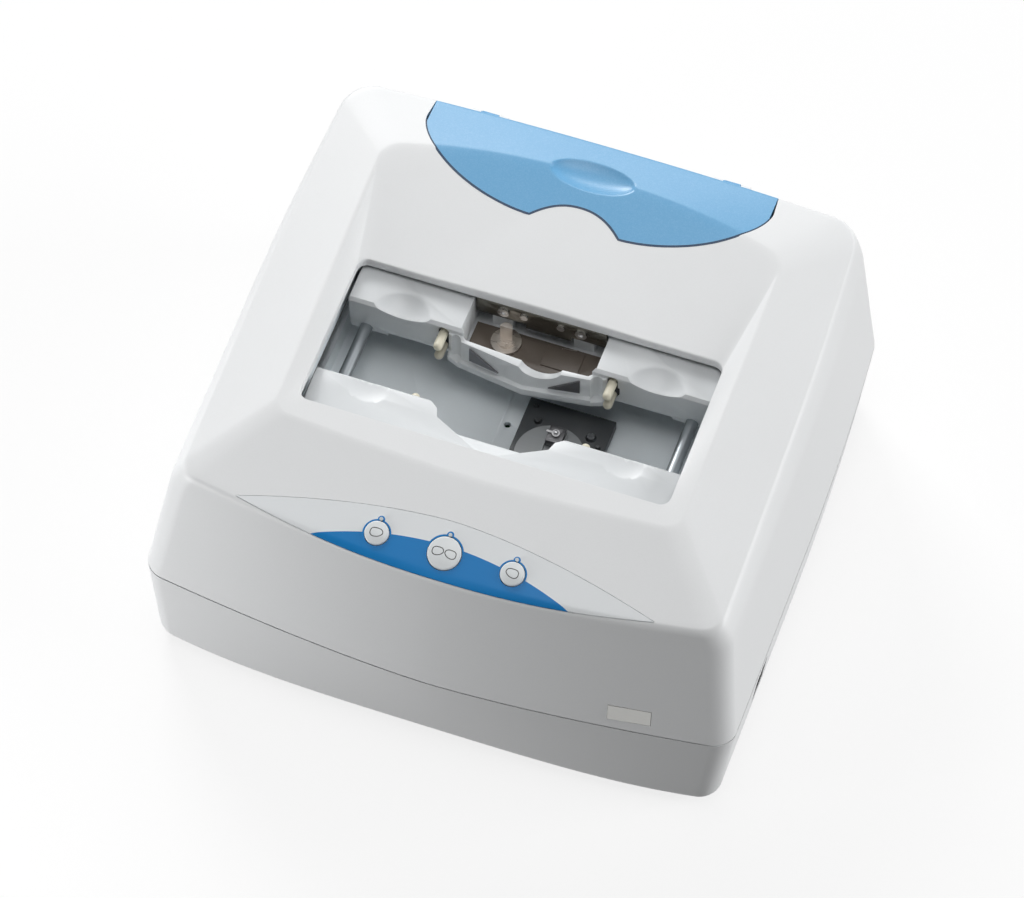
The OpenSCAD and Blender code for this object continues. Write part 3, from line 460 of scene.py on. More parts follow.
# %% Shared effects
def make_grain_group():
    """Grain: a base colour lightened and darkened by slow clouds and by fine specks,
    a roughness that wanders with the clouds, and the specks again as a height."""
    g, i, o = new_group("moulded grain", {"Colour": (0.8, 0.8, 0.8), "Clouds": 0.03,
                                          "Specks": 0.04, "Roughness": 0.45},
                        ["Colour", "Roughness", "Height"])
    place = object_place(g)
    slow, fine = noise(g, place, 14, 3), noise(g, place, 1500, 2, 0.7)
    light = maths(g, "ADD", 1.0, swing(g, slow, i.outputs["Clouds"]))
    light = maths(g, "ADD", light, swing(g, fine, i.outputs["Specks"]))
    rough = maths(g, "ADD", i.outputs["Roughness"], swing(g, slow, 0.16), clamp=True)
    wire(g, o, Colour=tinted(g, i.outputs["Colour"], light), Roughness=rough, Height=fine)
    return g


def make_brush_group():
    """Brushing: noise stretched forty times along one axis, as lines of a scratch pad;
    it shifts the colour and the roughness and gives a height."""
    g, i, o = new_group("brushed lines", {"Colour": (0.6, 0.6, 0.6), "Contrast": 0.18,
                                          "Roughness": 0.32},
                        ["Colour", "Roughness", "Height"])
    mapping = g.nodes.new("ShaderNodeMapping")
    mapping.inputs["Scale"].default_value = (25, 1000, 1000)
    g.links.new(object_place(g), mapping.inputs["Vector"])
    lines = noise(g, mapping.outputs[0], 1.0, 4, 0.6)
    light = maths(g, "ADD", 1.0, swing(g, lines, i.outputs["Contrast"]))
    wire(g, o, Colour=tinted(g, i.outputs["Colour"], light), Height=lines,
         Roughness=maths(g, "ADD", i.outputs["Roughness"], swing(g, lines, 0.2)))
    return g


def make_dust_group():
    """Handling marks: broad faint patches, more of them on faces that look up."""
    g, i, o = new_group("handling marks", {"Colour": (0.8, 0.8, 0.8), "Amount": 0.1,
                                           "Dust": (0.62, 0.61, 0.58)}, ["Colour"])
    part = g.nodes.new("ShaderNodeSeparateXYZ")
    g.links.new(g.nodes.new("ShaderNodeNewGeometry").outputs["Normal"], part.inputs[0])
    patch = maths(g, "MULTIPLY", noise(g, object_place(g), 45, 5, 0.65),
                  maths(g, "MAXIMUM", part.outputs["Z"], 0.15))
    mask = maths(g, "MULTIPLY", maths(g, "SUBTRACT", patch, 0.32, clamp=True),
                 i.outputs["Amount"], clamp=True)
    wire(g, o, Colour=blend_colour(g, mask, i.outputs["Colour"], i.outputs["Dust"]))
    return g


GRAIN, BRUSH, DUST = make_grain_group(), make_brush_group(), make_dust_group()


def finish(name, **plain):
    """A new material, with constants written on the shader's own sockets."""
    m = bpy.data.materials.new(name)
    m.use_nodes = True
    shader = m.node_tree.nodes["Principled BSDF"]
    wire(m.node_tree, shader, **plain)
    return m, m.node_tree, shader


def surfaced(t, s, effect, marks, strength, depth):
    """Wires an effect's colour, roughness and height to a shader, under handling marks."""
    d = placed(t, DUST, Colour=effect.outputs["Colour"], Amount=marks)
    wire(t, s, Base_Color=d.outputs["Colour"], Roughness=effect.outputs["Roughness"],
         Normal=bump(t, effect.outputs["Height"], strength, depth))


def moulded(name, colour, rough=0.45, clouds=0.03, specks=0.04):
    """Moulded or painted finish: grain, then handling marks, then a fine bump."""
    m, t, s = finish(name)
    surfaced(t, s, placed(t, GRAIN, Colour=colour, Clouds=clouds, Specks=specks,
                          Roughness=rough), 0.1, 0.35, 0.00003)
    return m


def brushed(name, colour, rough=0.32, contrast=0.18, metal=1.0):
    """Bare metal with fine lines from its last working."""
    m, t, s = finish(name, Metallic=metal)
    surfaced(t, s, placed(t, BRUSH, Colour=colour, Contrast=contrast, Roughness=rough),
             0.06, 0.2, 0.00002)
    return m


print("shared effects:", [g.name for g in bpy.data.node_groups])

# %% [markdown]
# One finish per material slot of the record, each with its own colour, grain and gloss;
# the lid's lacquer comes later, with the lid.
# %% Finishes of the solids
FINISHES = {
    "housing_white": (moulded, (0.83, 0.842, 0.85), 0.42, 0.02, 0.05),
    "foot_rubber": (moulded, (0.03, 0.03, 0.032), 0.8, 0.2, 0.3),
    "overlay_film": (moulded, (0.70, 0.74, 0.76), 0.3, 0.02, 0.01),
    "circuit_board": (moulded, (0.02, 0.14, 0.06), 0.35, 0.3, 0.1),
    "lamp_clear": (moulded, (0.55, 0.58, 0.58), 0.15, 0.02, 0.01),
    "plate_silver": (brushed, (0.60, 0.60, 0.58), 0.4, 0.08, 0.55),
    "button_white": (moulded, (0.76, 0.79, 0.80), 0.3, 0.02, 0.01),
    "steel_pin": (brushed, (0.62, 0.62, 0.63)),
    "box_grey": (moulded, (0.42, 0.44, 0.46), 0.5, 0.06, 0.06),
    "deck_grey": (moulded, (0.80, 0.855, 0.885), 0.4, 0.06, 0.05),
    "rod_chrome": (brushed, (0.34, 0.37, 0.39), 0.34, 0.08, 0.7),
    "block_slate": (moulded, (0.24, 0.265, 0.28), 0.4, 0.1, 0.1),
    "slider_white": (moulded, (0.75, 0.775, 0.79), 0.36, 0.02, 0.03),
    "insert_grey": (brushed, (0.20, 0.20, 0.21), 0.4),
    "bracket_steel": (brushed, (0.17, 0.163, 0.142), 0.3, 0.25),
    "screw_steel": (brushed, (0.55, 0.55, 0.55), 0.28),
    "floor_bronze": (moulded, (0.13, 0.105, 0.085), 0.42, 0.2, 0.1),
    "feeler_steel": (brushed, (0.50, 0.46, 0.42), 0.3, 0.2),
    "finger_ivory": (moulded, (0.74, 0.70, 0.56), 0.4, 0.06, 0.03),
    "pulley_slate": (moulded, (0.07, 0.08, 0.09), 0.45),
    "steel_wire": (brushed, (0.5, 0.5, 0.5), 0.4),
    "drum_dark": (moulded, (0.05, 0.055, 0.06), 0.4),
    "unit_dark": (moulded, (0.055, 0.06, 0.065), 0.38, 0.2, 0.15),
    "unit_screw": (brushed, (0.10, 0.105, 0.11), 0.3),
    "table_grey": (brushed, (0.20, 0.21, 0.215), 0.36, 0.15, 0.8),
    "stylus_block": (brushed, (0.12, 0.12, 0.125), 0.36),
    "stylus_steel": (brushed, (0.42, 0.42, 0.43), 0.22, 0.05),
    "motor_black": (moulded, (0.02, 0.02, 0.022), 0.4),
    "pulley_brass": (brushed, (0.60, 0.43, 0.18), 0.3),
    "belt_rubber": (moulded, (0.012, 0.012, 0.012), 0.75),
    "chip_black": (moulded, (0.015, 0.015, 0.017), 0.5),
    "psu_steel": (brushed, (0.50, 0.51, 0.52), 0.38),
    "connector_black": (moulded, (0.012, 0.012, 0.014), 0.45),
    "rocker_black": (moulded, (0.016, 0.016, 0.018), 0.25),
    "port_metal": (brushed, (0.42, 0.43, 0.45), 0.35),
}
SLOT_FINISH = {slot_shade: make(slot_shade.replace("_", " "), *values)
               for slot_shade, (make, *values) in FINISHES.items()}
slot_of = {s["node"]: s["material_slot"] for s in frame["record"]["subparts"]}
for name, obj in nodes.items():
    if slot_of[name] in SLOT_FINISH:
        obj.data.materials.clear()
        obj.data.materials.append(SLOT_FINISH[slot_of[name]])
print("finishes:", len(SLOT_FINISH))

# %% [markdown]
# The rear lid follows the cover's own surface, so its shape is read off the loft: for
# each place across the lid, the profile that runs from its front edge, over the ridge
# and down the back, is found by interpolation. Its front edge is a flat bowl with a
# notch for the fingers.
# %% Outline of the lid
LID_HALF_W, LID_FRONT, NOTCH_W, NOTCH_DEPTH, LID_GAP = 85.0, 75.0, 22.0, 10.0, 0.6
LID_SHOULDER, LID_LOW, HINGE_X = LID_FRONT + 36, 129.2, 60.0
HINGE_Y, HINGE_Z = LOW["back"] - 0.3, 128.8


def lid_edge(x):
    """Front edge: a bowl, y = front + depth (1 - (1 - u^1.75)^(1/1.75)) with u running
    from the notch to the side; inside the notch y rises by depth (1 - |x/w|^2.2)."""
    a = np.abs(x)
    u = np.clip((a - NOTCH_W) / (LID_HALF_W - NOTCH_W), 0, 1)
    bowl = LID_FRONT + (LID_SHOULDER - LID_FRONT) * (1 - (1 - u ** 1.75) ** (1 / 1.75))
    notch = LID_FRONT + NOTCH_DEPTH * (1 - np.minimum(1, a / NOTCH_W) ** 2.2)
    return np.where(a < NOTCH_W, notch, bowl)


def lid_outline(grow):
    """The lid's plan outline, anticlockwise, pushed out by a gap."""
    u = np.linspace(1, 0, 40)
    side = NOTCH_W + (LID_HALF_W - NOTCH_W) * (1 - (1 - u) ** 2)
    x = np.concatenate([-side, np.linspace(-NOTCH_W, NOTCH_W, 41)[1:-1], side[::-1]])
    p = np.c_[x, lid_edge(x)]
    p = np.concatenate([p, [[LID_HALF_W - 1.5, SEAM["back"] + 2]],
                        [[1.5 - LID_HALF_W, SEAM["back"] + 2]]])
    along = np.roll(p, -1, 0) - np.roll(p, 1, 0)
    return p + grow * to_the_right(along)


def profile_at(levels, xs, side):
    """Columns of the loft over given x: each level's back (or front) half is sorted by
    x and read there, giving y and z for every level and place."""
    y = np.empty((len(levels), len(xs)))
    z = np.empty_like(y)
    for k, p in enumerate(levels):
        half = p[(p[:, 1] - p[:, 1].mean()) * side > 0]
        half = half[np.argsort(half[:, 0])]
        y[k] = np.interp(xs, half[:, 0], half[:, 1])
        z[k] = np.interp(xs, half[:, 0], half[:, 2])
    return y, z


def column(y, z, y_from, low, steps):
    """One column of the lid: the part of the profile behind y_from and above low, in
    even steps of its own length."""
    y, z = y[::-1], z[::-1]
    start = np.interp(y_from, y, np.arange(len(y)))
    peak = int(np.argmax(z))
    stop = peak + np.interp(-low, -z[peak:], np.arange(len(z) - peak))
    t = np.linspace(start, stop, 400)
    yy, zz = np.interp(t, np.arange(len(y)), y), np.interp(t, np.arange(len(z)), z)
    length = np.concatenate([[0], np.cumsum(np.hypot(np.diff(yy), np.diff(zz)))])
    s = np.linspace(0, length[-1], steps)
    return np.interp(s, length, yy), np.interp(s, length, zz)


print("lid outline points:", len(lid_outline(0)))

# %% [markdown]
# The cover is a closed shell: outside, round the mouth, inside and back to the seam.
# The openings in it are cut with the Boolean modifier, from cutters that repeat the
# outline of what sits in them plus its gap.
# %% Printed overlay: outline and place
LEAF_HALF_W, LEAF_FRONT, LEAF_MID, LEAF_BACK = 100.0, 113.2, 102.5, 87.1
LEAF_PROUD, LEAF_T, LEAF_GAP, LEAF_CUT_TOP = 0.1, 0.5, 0.3, 3.0
ROW_Y = -101.4
TILT = math.atan2(RIM["front_z"] - HIGH["front_z"], HIGH["front"] - RIM["front"])
ROW_Z = HIGH["front_z"] + (HIGH["front"] + ROW_Y) * math.tan(TILT)
PITCH, BUTTON_R, START_R, LAMP_R = 32.5, 5.6, 7.8, 0.85
BUTTON_GAP, LAMP_GAP, HOLE_REACH = 0.35, 0.05, (-12, 4)


def leaf_patch(name, lift, depth, grow):
    """The leaf: columns across, rows from the lower curve y = -(mid + a (1 - u^2)) to
    the upper curve y = -(mid - b (1 - u^1.7)), laid on the front slope and lifted."""
    u = np.sin(np.linspace(-1, 1, 161) * math.pi / 2)
    x = u * (LEAF_HALF_W + grow)
    low = -(LEAF_MID + grow + (LEAF_FRONT - LEAF_MID) * (1 - u ** 2))
    high = -(LEAF_MID - grow - (LEAF_MID - LEAF_BACK) * (1 - np.abs(u) ** 1.7))
    t = np.linspace(0, 1, 13)[:, None]
    y = low + (high - low) * t
    x = np.broadcast_to(x, y.shape)
    py, pz = profile_at(rows_out, x[0], -1)
    z = np.stack([np.interp(y[:, k], py[:, k], pz[:, k]) for k in range(x.shape[1])], axis=1)
    top = np.stack([x, y, z + lift], axis=-1)
    n = top[..., 0].size
    pts = np.concatenate([top.reshape(-1, 3), (top - [0, 0, depth]).reshape(-1, 3)])
    r, c = x.shape
    f = grid_faces(r, c)
    rim = np.concatenate([np.arange(c), np.arange(1, r) * c + c - 1,
                          (r - 1) * c + np.arange(c - 2, -1, -1), np.arange(r - 2, 0, -1) * c])
    walls = np.stack([rim, rim + n, np.roll(rim, -1) + n, np.roll(rim, -1)], axis=1)
    return mesh_from(name, pts, np.concatenate([f, f[:, ::-1] + n, walls]))


def on_panel(x, y, z):
    """A point given along, up and out of the control panel."""
    c, s = math.cos(TILT), math.sin(TILT)
    return (x, ROW_Y + y * c - z * s, ROW_Z + y * s + z * c)


def lamp_y(i):
    """Height of a lamp above its button, up the panel."""
    return 8.9 if i == 0 else 6.8


def button_r(i):
    """Radius of a button: the one in the middle starts a measurement and is bigger."""
    return START_R if i == 0 else BUTTON_R


def panel_hole(i, y, r, steps=64):
    """A closed rod square to the panel, for cutting a hole."""
    a = circle(steps)
    pts = [on_panel(i * PITCH + r * math.cos(t), y + r * math.sin(t), z)
           for z in HOLE_REACH for t in a]
    return mesh_from("hole", pts, tube_faces(steps))


def button_cutters():
    """Holes for the three buttons and the three lamps."""
    out = []
    for i in (-1, 0, 1):
        out.append(panel_hole(i, 0, button_r(i) + BUTTON_GAP))
        out.append(panel_hole(i, lamp_y(i), LAMP_R + LAMP_GAP))
    return out


print("panel leans", round(math.degrees(TILT), 2), "degrees")

# %% Upper cover
inner = [level(drawn_in(MOUTH, 0, LIP_H)), level(drawn_in(MOUTH, -LIP_T, LIP_H)),
         level(drawn_in(MOUTH, -LIP_T, WALL)), level(drawn_in(RIM, 2.2, WALL)),
         level(drawn_in(HIGH, WALL, WALL)), level(drawn_in(LOW, WALL, 0.8)),
         level(drawn_in(SKIRT, WALL, 0))]
lip = fold(rows_out[-2], rows_out[-1], inner[0], 0.5, 0.25, 7)
shell = np.concatenate([rows_out[:-1], lip, np.stack(inner)])
n_rows, n_cols = shell.shape[:2]
upper_cover = mesh_from("cover_shell", shell.reshape(-1, 3),
                        grid_faces(n_rows, n_cols, True, True), [SLOT_FINISH["housing_white"]])
PLATE_X, PLATE_Z, PLATE_W, PLATE_H = 96.0, 61.6, 20.0, 8.0
PLATE_GAP, PLATE_DEPTH, PLATE_CLEAR, PLATE_SPAN = 0.25, 0.8, 4.0, 9.0
ABOVE_ALL = 160.0
HINGE_HALF_W, HINGE_FRONT, HINGE_CUT, HINGE_DROP = 9.3, 2.6, 12.0, 12.0
COVER_CUT_H, LID_CUT_H = 16.0, 14.5


def hinge_cutters(height):
    """Two boxes of a given height that make room for the hinges."""
    return [block("cut_hinge", (side * HINGE_X - HINGE_HALF_W, HINGE_Y - HINGE_FRONT,
                                HINGE_Z - HINGE_DROP), (2 * HINGE_HALF_W, HINGE_CUT, height))
            for side in (-1, 1)]


def wall_y(r, x):
    """The front wall's y in one level: minus front plus bow times |x / half width|^power."""
    return -r["front"] + r["front_bow"] * (x / r["half_w"]) ** r["bow_power"]


def plate_cutter():
    """A box lying in the front wall, leaning and turned as the wall is at the plate."""
    up_wall = (PLATE_Z - SKIRT["front_z"]) / (LOW["front_z"] - SKIRT["front_z"])
    y0, y1 = wall_y(SKIRT, PLATE_X), wall_y(LOW, PLATE_X)
    lean = math.atan2(y1 - y0, LOW["front_z"] - SKIRT["front_z"])
    yaw = math.atan2(wall_y(LOW, PLATE_X + PLATE_SPAN) - wall_y(LOW, PLATE_X - PLATE_SPAN),
                     2 * PLATE_SPAN)
    place = (Matrix.Translation(Vector((PLATE_X, y0 + (y1 - y0) * up_wall, PLATE_Z)) * MM)
             @ Matrix.Rotation(yaw, 4, "Z") @ Matrix.Rotation(-lean, 4, "X"))
    obj = block("cut_plate", (-PLATE_W / 2 - PLATE_GAP, -PLATE_CLEAR, -PLATE_H / 2 - PLATE_GAP),
                (PLATE_W + 2 * PLATE_GAP, PLATE_DEPTH + PLATE_CLEAR, PLATE_H + 2 * PLATE_GAP))
    obj.data.transform(place)
    return obj


cutters = [prism("cut_lid", lid_outline(LID_GAP), HINGE_Z, ABOVE_ALL),
           leaf_patch("cut_leaf", LEAF_CUT_TOP, LEAF_CUT_TOP + LEAF_T, LEAF_GAP)]
cutters += button_cutters() + hinge_cutters(COVER_CUT_H) + [plate_cutter()]
carve(upper_cover, cutters)
smooth(upper_cover, 28)
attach(upper_cover, "housing")
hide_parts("upper_cover")
print("cover faces:", len(upper_cover.data.polygons))

# %% [markdown]
# The base tray is the same kind of loft, rolled under at the table and cut for the
# sockets, the switch and the row of vents on the back.
# %% Base tray
sole, base, seam = level(SOLE), level(BASE), level(SEAM)
rolled = fold(sole, base, seam, 0.95, 0.07)
outside = np.concatenate([sole[None], rolled, straight(rolled[-1], seam, 8), seam[None]])
inside = np.stack([level(drawn_in(SEAM, WALL, 0)), level(drawn_in(BASE, WALL, -WALL)),
                   level(drawn_in(SOLE, WALL, -WALL))])
tray = np.concatenate([outside, inside])
n_rows, n_cols = tray.shape[:2]
points = np.concatenate([tray.reshape(-1, 3), [tray[0].mean(0), tray[-1].mean(0)]])
here = np.arange(n_cols)
after, last = (here + 1) % n_cols, (n_rows - 1) * n_cols
tray_faces = grid_faces(n_rows, n_cols, False, True).tolist()
tray_faces += fan(n_rows * n_cols, after, here)
tray_faces += fan(n_rows * n_cols + 1, last + here, last + after)
base_tray = mesh_from("tray_shell", points, tray_faces, [SLOT_FINISH["housing_white"]])
INLET, PORT, SWITCH = (-96, 26, 28, 21), (60, 22, 31, 12), (-66, 30, 15, 21)
FIT, REACH, SIDE_CUT = 0.3, 30, 121.5
VENTS_EACH_SIDE, VENT_PITCH, VENT_W, VENT_H, VENT_Z = 11, 7, 3, 9, 38


def opening(place, back):
    """A cutter for a socket or switch, from its place along the wall, its height there,
    its width and its height: through the back wall, or else through the right wall."""
    along, z, w, h = place
    low, z, w, h = along - w / 2 - FIT, z - h / 2 - FIT, w + 2 * FIT, h + 2 * FIT
    if back:
        return block("cut", (low, SEAM["back"] - 22, z), (w, REACH, h))
    return block("cut", (SIDE_CUT, low, z), (REACH, w, h))


cutters = [opening(INLET, True), opening(PORT, True), opening(SWITCH, False)]
cutters += [block("cut", (i * VENT_PITCH - VENT_W / 2, SEAM["back"] - 14, VENT_Z),
                  (VENT_W, REACH, VENT_H))
            for i in range(-VENTS_EACH_SIDE, VENTS_EACH_SIDE + 1)]
carve(base_tray, cutters)
smooth(base_tray, 28)
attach(base_tray, "housing")
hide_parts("base_tray")
print("tray faces:", len(base_tray.data.polygons))

# %% [markdown]
# The lid is pearl lacquer: a clear coat over a blue with fine bright flakes.
# %% Lid finish


def make_flake_group():
    """Flakes: cells of nearly half a millimetre, each with its own lightness; the
    brightest ones lift the colour, and a slow cloud shifts it a little."""
    g, i, o = new_group("pearl flakes", {"Colour": (0.1, 0.3, 0.6), "Flake": (0.5, 0.75, 0.95),
                                         "Amount": 0.35}, ["Colour", "Height"])
    place = object_place(g)
    cells = g.nodes.new("ShaderNodeTexVoronoi")
    wire(g, cells, Vector=place, Scale=2200)
    value = g.nodes.new("ShaderNodeSeparateColor")
    g.links.new(cells.outputs["Color"], value.inputs[0])
    mask = maths(g, "MULTIPLY", maths(g, "POWER", value.outputs[0], 2.0), i.outputs["Amount"])
    cloud = maths(g, "MULTIPLY", maths(g, "SUBTRACT", noise(g, place, 30, 2), 0.45), 0.25)
    mask = maths(g, "ADD", mask, cloud, clamp=True)
    wire(g, o, Colour=blend_colour(g, mask, i.outputs["Colour"], i.outputs["Flake"]),
         Height=value.outputs[0])
    return g


FLAKES = make_flake_group()
lid_blue, t, s = finish("lid blue", Roughness=0.5, Coat_Weight=0.6, Coat_Roughness=0.28)
f = placed(t, FLAKES, Colour=(0.10, 0.345, 0.60), Flake=(0.24, 0.49, 0.73), Amount=0.28)
wire(t, s, Base_Color=f.outputs["Colour"], Normal=bump(t, f.outputs["Height"], 0.15, 0.00002))
nodes["lid_knuckles"].data.materials.clear()
nodes["lid_knuckles"].data.materials.append(lid_blue)
print("lid finish:", lid_blue.name)

# %% Rear lid
LID_T, LID_EDGE, DIMPLE_X, DIMPLE_Y, DIMPLE_DEPTH = 2.5, 0.5, 20.5, 8.5, 2.3
half = np.concatenate([np.linspace(0, NOTCH_W, 30), NOTCH_W + (LID_HALF_W - LID_GAP - NOTCH_W)
                       * np.sin(np.linspace(0, 1, 70)[1:] * math.pi / 2)])
lid_x = np.concatenate([-half[:0:-1], half])
py, pz = profile_at(outer_levels(90), lid_x, 1)
made = [column(py[:, k], pz[:, k], float(lid_edge(x)), LID_LOW, 90)
        for k, x in enumerate(lid_x)]
ly, lz = np.stack([m[0] for m in made], 1), np.stack([m[1] for m in made], 1)
lx = np.broadcast_to(lid_x, ly.shape)


def dimpled(x, y, z):
    """One column with its share of the dimple: between the two sides of an ellipse the
    surface follows the chord, less depth times 1 - v^2, v running from -1 to 1 across."""
    share = math.sqrt(max(0.0, 1 - (x / DIMPLE_X) ** 2))
    if share == 0:
        return z
    reach = DIMPLE_Y * share
    z0, z1 = np.interp((RIM["back"] - reach, RIM["back"] + reach), y, z)
    v = (y - RIM["back"]) / reach
    sunk_z = z0 + (z1 - z0) * (v + 1) / 2 - DIMPLE_DEPTH * share * (1 - v ** 2)
    return np.where(np.abs(v) < 1, sunk_z, z)


lz = np.stack([dimpled(x, ly[:, k], lz[:, k]) for k, x in enumerate(lid_x)], axis=1)
rear_lid = mesh_from("lid_shell", np.stack([lx, ly, lz], -1).reshape(-1, 3),
                     grid_faces(*ly.shape), [lid_blue])
m = rear_lid.modifiers.new("thickness", "SOLIDIFY")
m.thickness, m.offset, m.use_even_offset = LID_T * MM, -1, False
m = rear_lid.modifiers.new("soft edge", "BEVEL")
m.width, m.segments, m.limit_method = LID_EDGE * MM, 3, "ANGLE"
m.angle_limit = math.radians(55)
finish_modifiers(rear_lid)
carve(rear_lid, hinge_cutters(LID_CUT_H))
smooth(rear_lid, 35)
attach(rear_lid, "lid")
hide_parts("rear_lid")
print("lid faces:", len(rear_lid.data.polygons))

# %% Painted shade: a dark line in the gap in front of the lid
GAP_SHADE_W, LAP, LINE_DEPTH = 1.1, 0.1, 0.9


def lid_gap_shade():
    """A ribbon of painted shade along the lid's front edge: each column's first point of the
    lid, pushed forward across the gap and kept a hair under the cover's surface."""
    edge = np.stack([lx[0], ly[0], lz[0]], axis=1)
    out = to_the_right(np.gradient(edge, axis=0))
    a, b = edge.copy(), edge.copy()
    a[:, :2] -= out * LAP
    b[:, :2] += out * (GAP_SHADE_W - LAP)
    a[:, 2] += 0.06
    b[:, 2] -= 0.08
    down = [0, 0, LINE_DEPTH]
    n = len(edge)
    pts = np.concatenate([a, b, b - down, a - down])
    faces = grid_faces(4, n, True, False)[:, ::-1].tolist()
    faces += [[0, n, 2 * n, 3 * n], [4 * n - 1, 3 * n - 1, 2 * n - 1, n - 1]]
    # The navy ribbon is painted shade, standing for the dark of the gap round the lid.
    return mesh_from("lid_gap_shade", pts, faces,
                     [moulded("painted gap shade", (0.006, 0.03, 0.075), 0.6, 0.1, 0.1)])


gap_shade_strip = smooth(lid_gap_shade(), 40)
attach(gap_shade_strip, "lid")
print("gap line faces:", len(gap_shade_strip.data.polygons))

# %% [markdown]
# The printed overlay. Its blue crescent and the rings round the buttons and lamps are
# printed, not moulded, so they are made in the material from the place on the panel.
# %% Overlay print
CRESCENT_TIP, CRESCENT_TOP, CRESCENT_DROP = 65.0, 3.7, 13.2
RING_W, LAMP_RING_R, PRINT_SOFT = 1.15, 1.75, 0.125


def make_print_group():
    """Print: the crescent lies below y = top - drop (x / tip)^2, and round each button
    and lamp is a disc whose middle the button or lamp covers. Edges are softened over
    an eighth of a millimetre."""
    g, i, o = new_group("panel print", {"Ink": (0.0, 0.19, 0.51), "Film": (0.83, 0.855, 0.87)},
                        ["Colour"])
    part = g.nodes.new("ShaderNodeSeparateXYZ")
    g.links.new(object_place(g), part.inputs[0])
    x = maths(g, "MULTIPLY", part.outputs["X"], 1000)
    v = maths(g, "DIVIDE", maths(g, "SUBTRACT", maths(g, "MULTIPLY", part.outputs["Y"], 1000),
                                 ROW_Y), math.cos(TILT))

    def inside(far, near):
        return maths(g, "MULTIPLY", maths(g, "SUBTRACT", far, near), 1 / PRINT_SOFT, clamp=True)

    u = maths(g, "DIVIDE", x, CRESCENT_TIP)
    ink = inside(maths(g, "SUBTRACT", CRESCENT_TOP, maths(
        g, "MULTIPLY", CRESCENT_DROP, maths(g, "MULTIPLY", u, u))), v)
    for k in (-1, 0, 1):
        for cy, r in ((0.0, button_r(k) + RING_W), (lamp_y(k), LAMP_RING_R)):
            dx = maths(g, "SUBTRACT", x, k * PITCH)
            dy = maths(g, "SUBTRACT", v, cy)
            d = maths(g, "SQRT", maths(g, "ADD", maths(g, "MULTIPLY", dx, dx),
                                       maths(g, "MULTIPLY", dy, dy)))
            ink = maths(g, "MAXIMUM", ink, inside(r, d))
    wire(g, o, Colour=blend_colour(g, ink, i.outputs["Film"], i.outputs["Ink"]))
    return g


PRINT = make_print_group()
overlay_film, t, s = finish("overlay film printed", Specular_IOR_Level=0.3)
g = placed(t, GRAIN, Colour=placed(t, PRINT).outputs["Colour"], Clouds=0.03, Specks=0.03,
           Roughness=0.36)
wire(t, s, Base_Color=g.outputs["Colour"], Roughness=g.outputs["Roughness"],
     Normal=bump(t, g.outputs["Height"], 0.2, 0.00001))
overlay = leaf_patch("overlay_leaf", LEAF_PROUD, LEAF_T, 0.0)
overlay.data.materials.append(overlay_film)
carve(overlay, button_cutters())
smooth(overlay, 25)
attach(overlay, "housing")
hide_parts("panel_overlay")
print("overlay faces:", len(overlay.data.polygons))

# %% [markdown]
# The buttons are domed caps. Their pictures are plain outlines of a right lens, a pair
# and a left lens, drawn as thin ribbons that follow the dome.
# %% Button caps
PUSH_TOP, CROWN, SKIRT_LOW = 0.9, 0.55, -3.4
EDGE_W, EDGE_H = 0.9, 0.6
RIBBON_W, RIBBON_LIFT = 0.4, 0.03
ink_black = moulded("picture ink", (0.02, 0.02, 0.022), 0.5, 0.1, 0.1)


def crown_z(reach, r):
    """Height of the crown at a distance from the axis: it falls with its square."""
    return PUSH_TOP + CROWN * (1 - (reach / (r - EDGE_W)) ** 2)


def dome(r):
    """Profile of a cap turned round its axis: a straight skirt, a rounded shoulder and
    a crown."""
    a = np.linspace(0, math.pi / 2, 7)
    shoulder = np.c_[r - EDGE_W + EDGE_W * np.cos(a), PUSH_TOP - EDGE_H + EDGE_H * np.sin(a)]
    reach = np.linspace(r - EDGE_W, 0, 12)[1:]
    return np.concatenate([[[0, SKIRT_LOW], [r, SKIRT_LOW], [r, PUSH_TOP - 2 * EDGE_H]],
                           shoulder, np.c_[reach, crown_z(reach, r)]])


def turned(name, i, profile, steps=72):
    """A surface of revolution about a button's axis, its two ends closed at the axis."""
    a = circle(steps)
    r, z = profile[1:-1, 0][:, None], profile[1:-1, 1][:, None]
    x, y = r * np.cos(a) + i * PITCH, r * np.sin(a)
    pts = np.stack(on_panel(x, y, np.broadcast_to(z, x.shape)), -1).reshape(-1, 3)
    n = len(pts)
    pts = np.concatenate([pts, [on_panel(i * PITCH, 0, profile[0][1]),
                                on_panel(i * PITCH, 0, profile[-1][1])]])
    here = np.arange(steps)
    after, top = (here + 1) % steps, n - steps
    faces = grid_faces(len(r), steps, False, True).tolist()
    faces += fan(n, after, here) + fan(n + 1, top + here, top + after)
    return mesh_from(name, pts, faces)


caps_made = {}
for i, node, body in ((-1, "button_left", "left_button"), (0, "button_start", "start_button"),
                      (1, "button_right", "right_button")):
    cap = turned("cap_" + node, i, dome(button_r(i)))
    cap.data.materials.append(SLOT_FINISH["button_white"])
    smooth(cap, 40)
    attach(cap, body)
    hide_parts(node)
    caps_made[i] = cap
print("caps:", [c.name for c in caps_made.values()])


def lens_ribbon(name, cap, i, outlines):
    """Ribbons along closed outlines: each outline's points are pushed in and out by half
    the width along its normal, then dropped onto the cap's dome."""
    pts, faces = [], []
    for outline in outlines:
        n, first = len(outline), len(pts)
        out = to_the_right(np.roll(outline, -1, 0) - np.roll(outline, 1, 0))
        for side in (0.5, -0.5):
            q = outline + out * RIBBON_W * side
            z = crown_z(np.hypot(q[:, 0], q[:, 1]), button_r(i)) + RIBBON_LIFT
            pts += [on_panel(i * PITCH + a, b, c) for (a, b), c in zip(q, z)]
        faces += (np.array(tube_faces(n)[:n]) + first).tolist()
    obj = mesh_from(name, pts, faces, [ink_black])
    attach(obj, cap["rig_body"])
    return obj


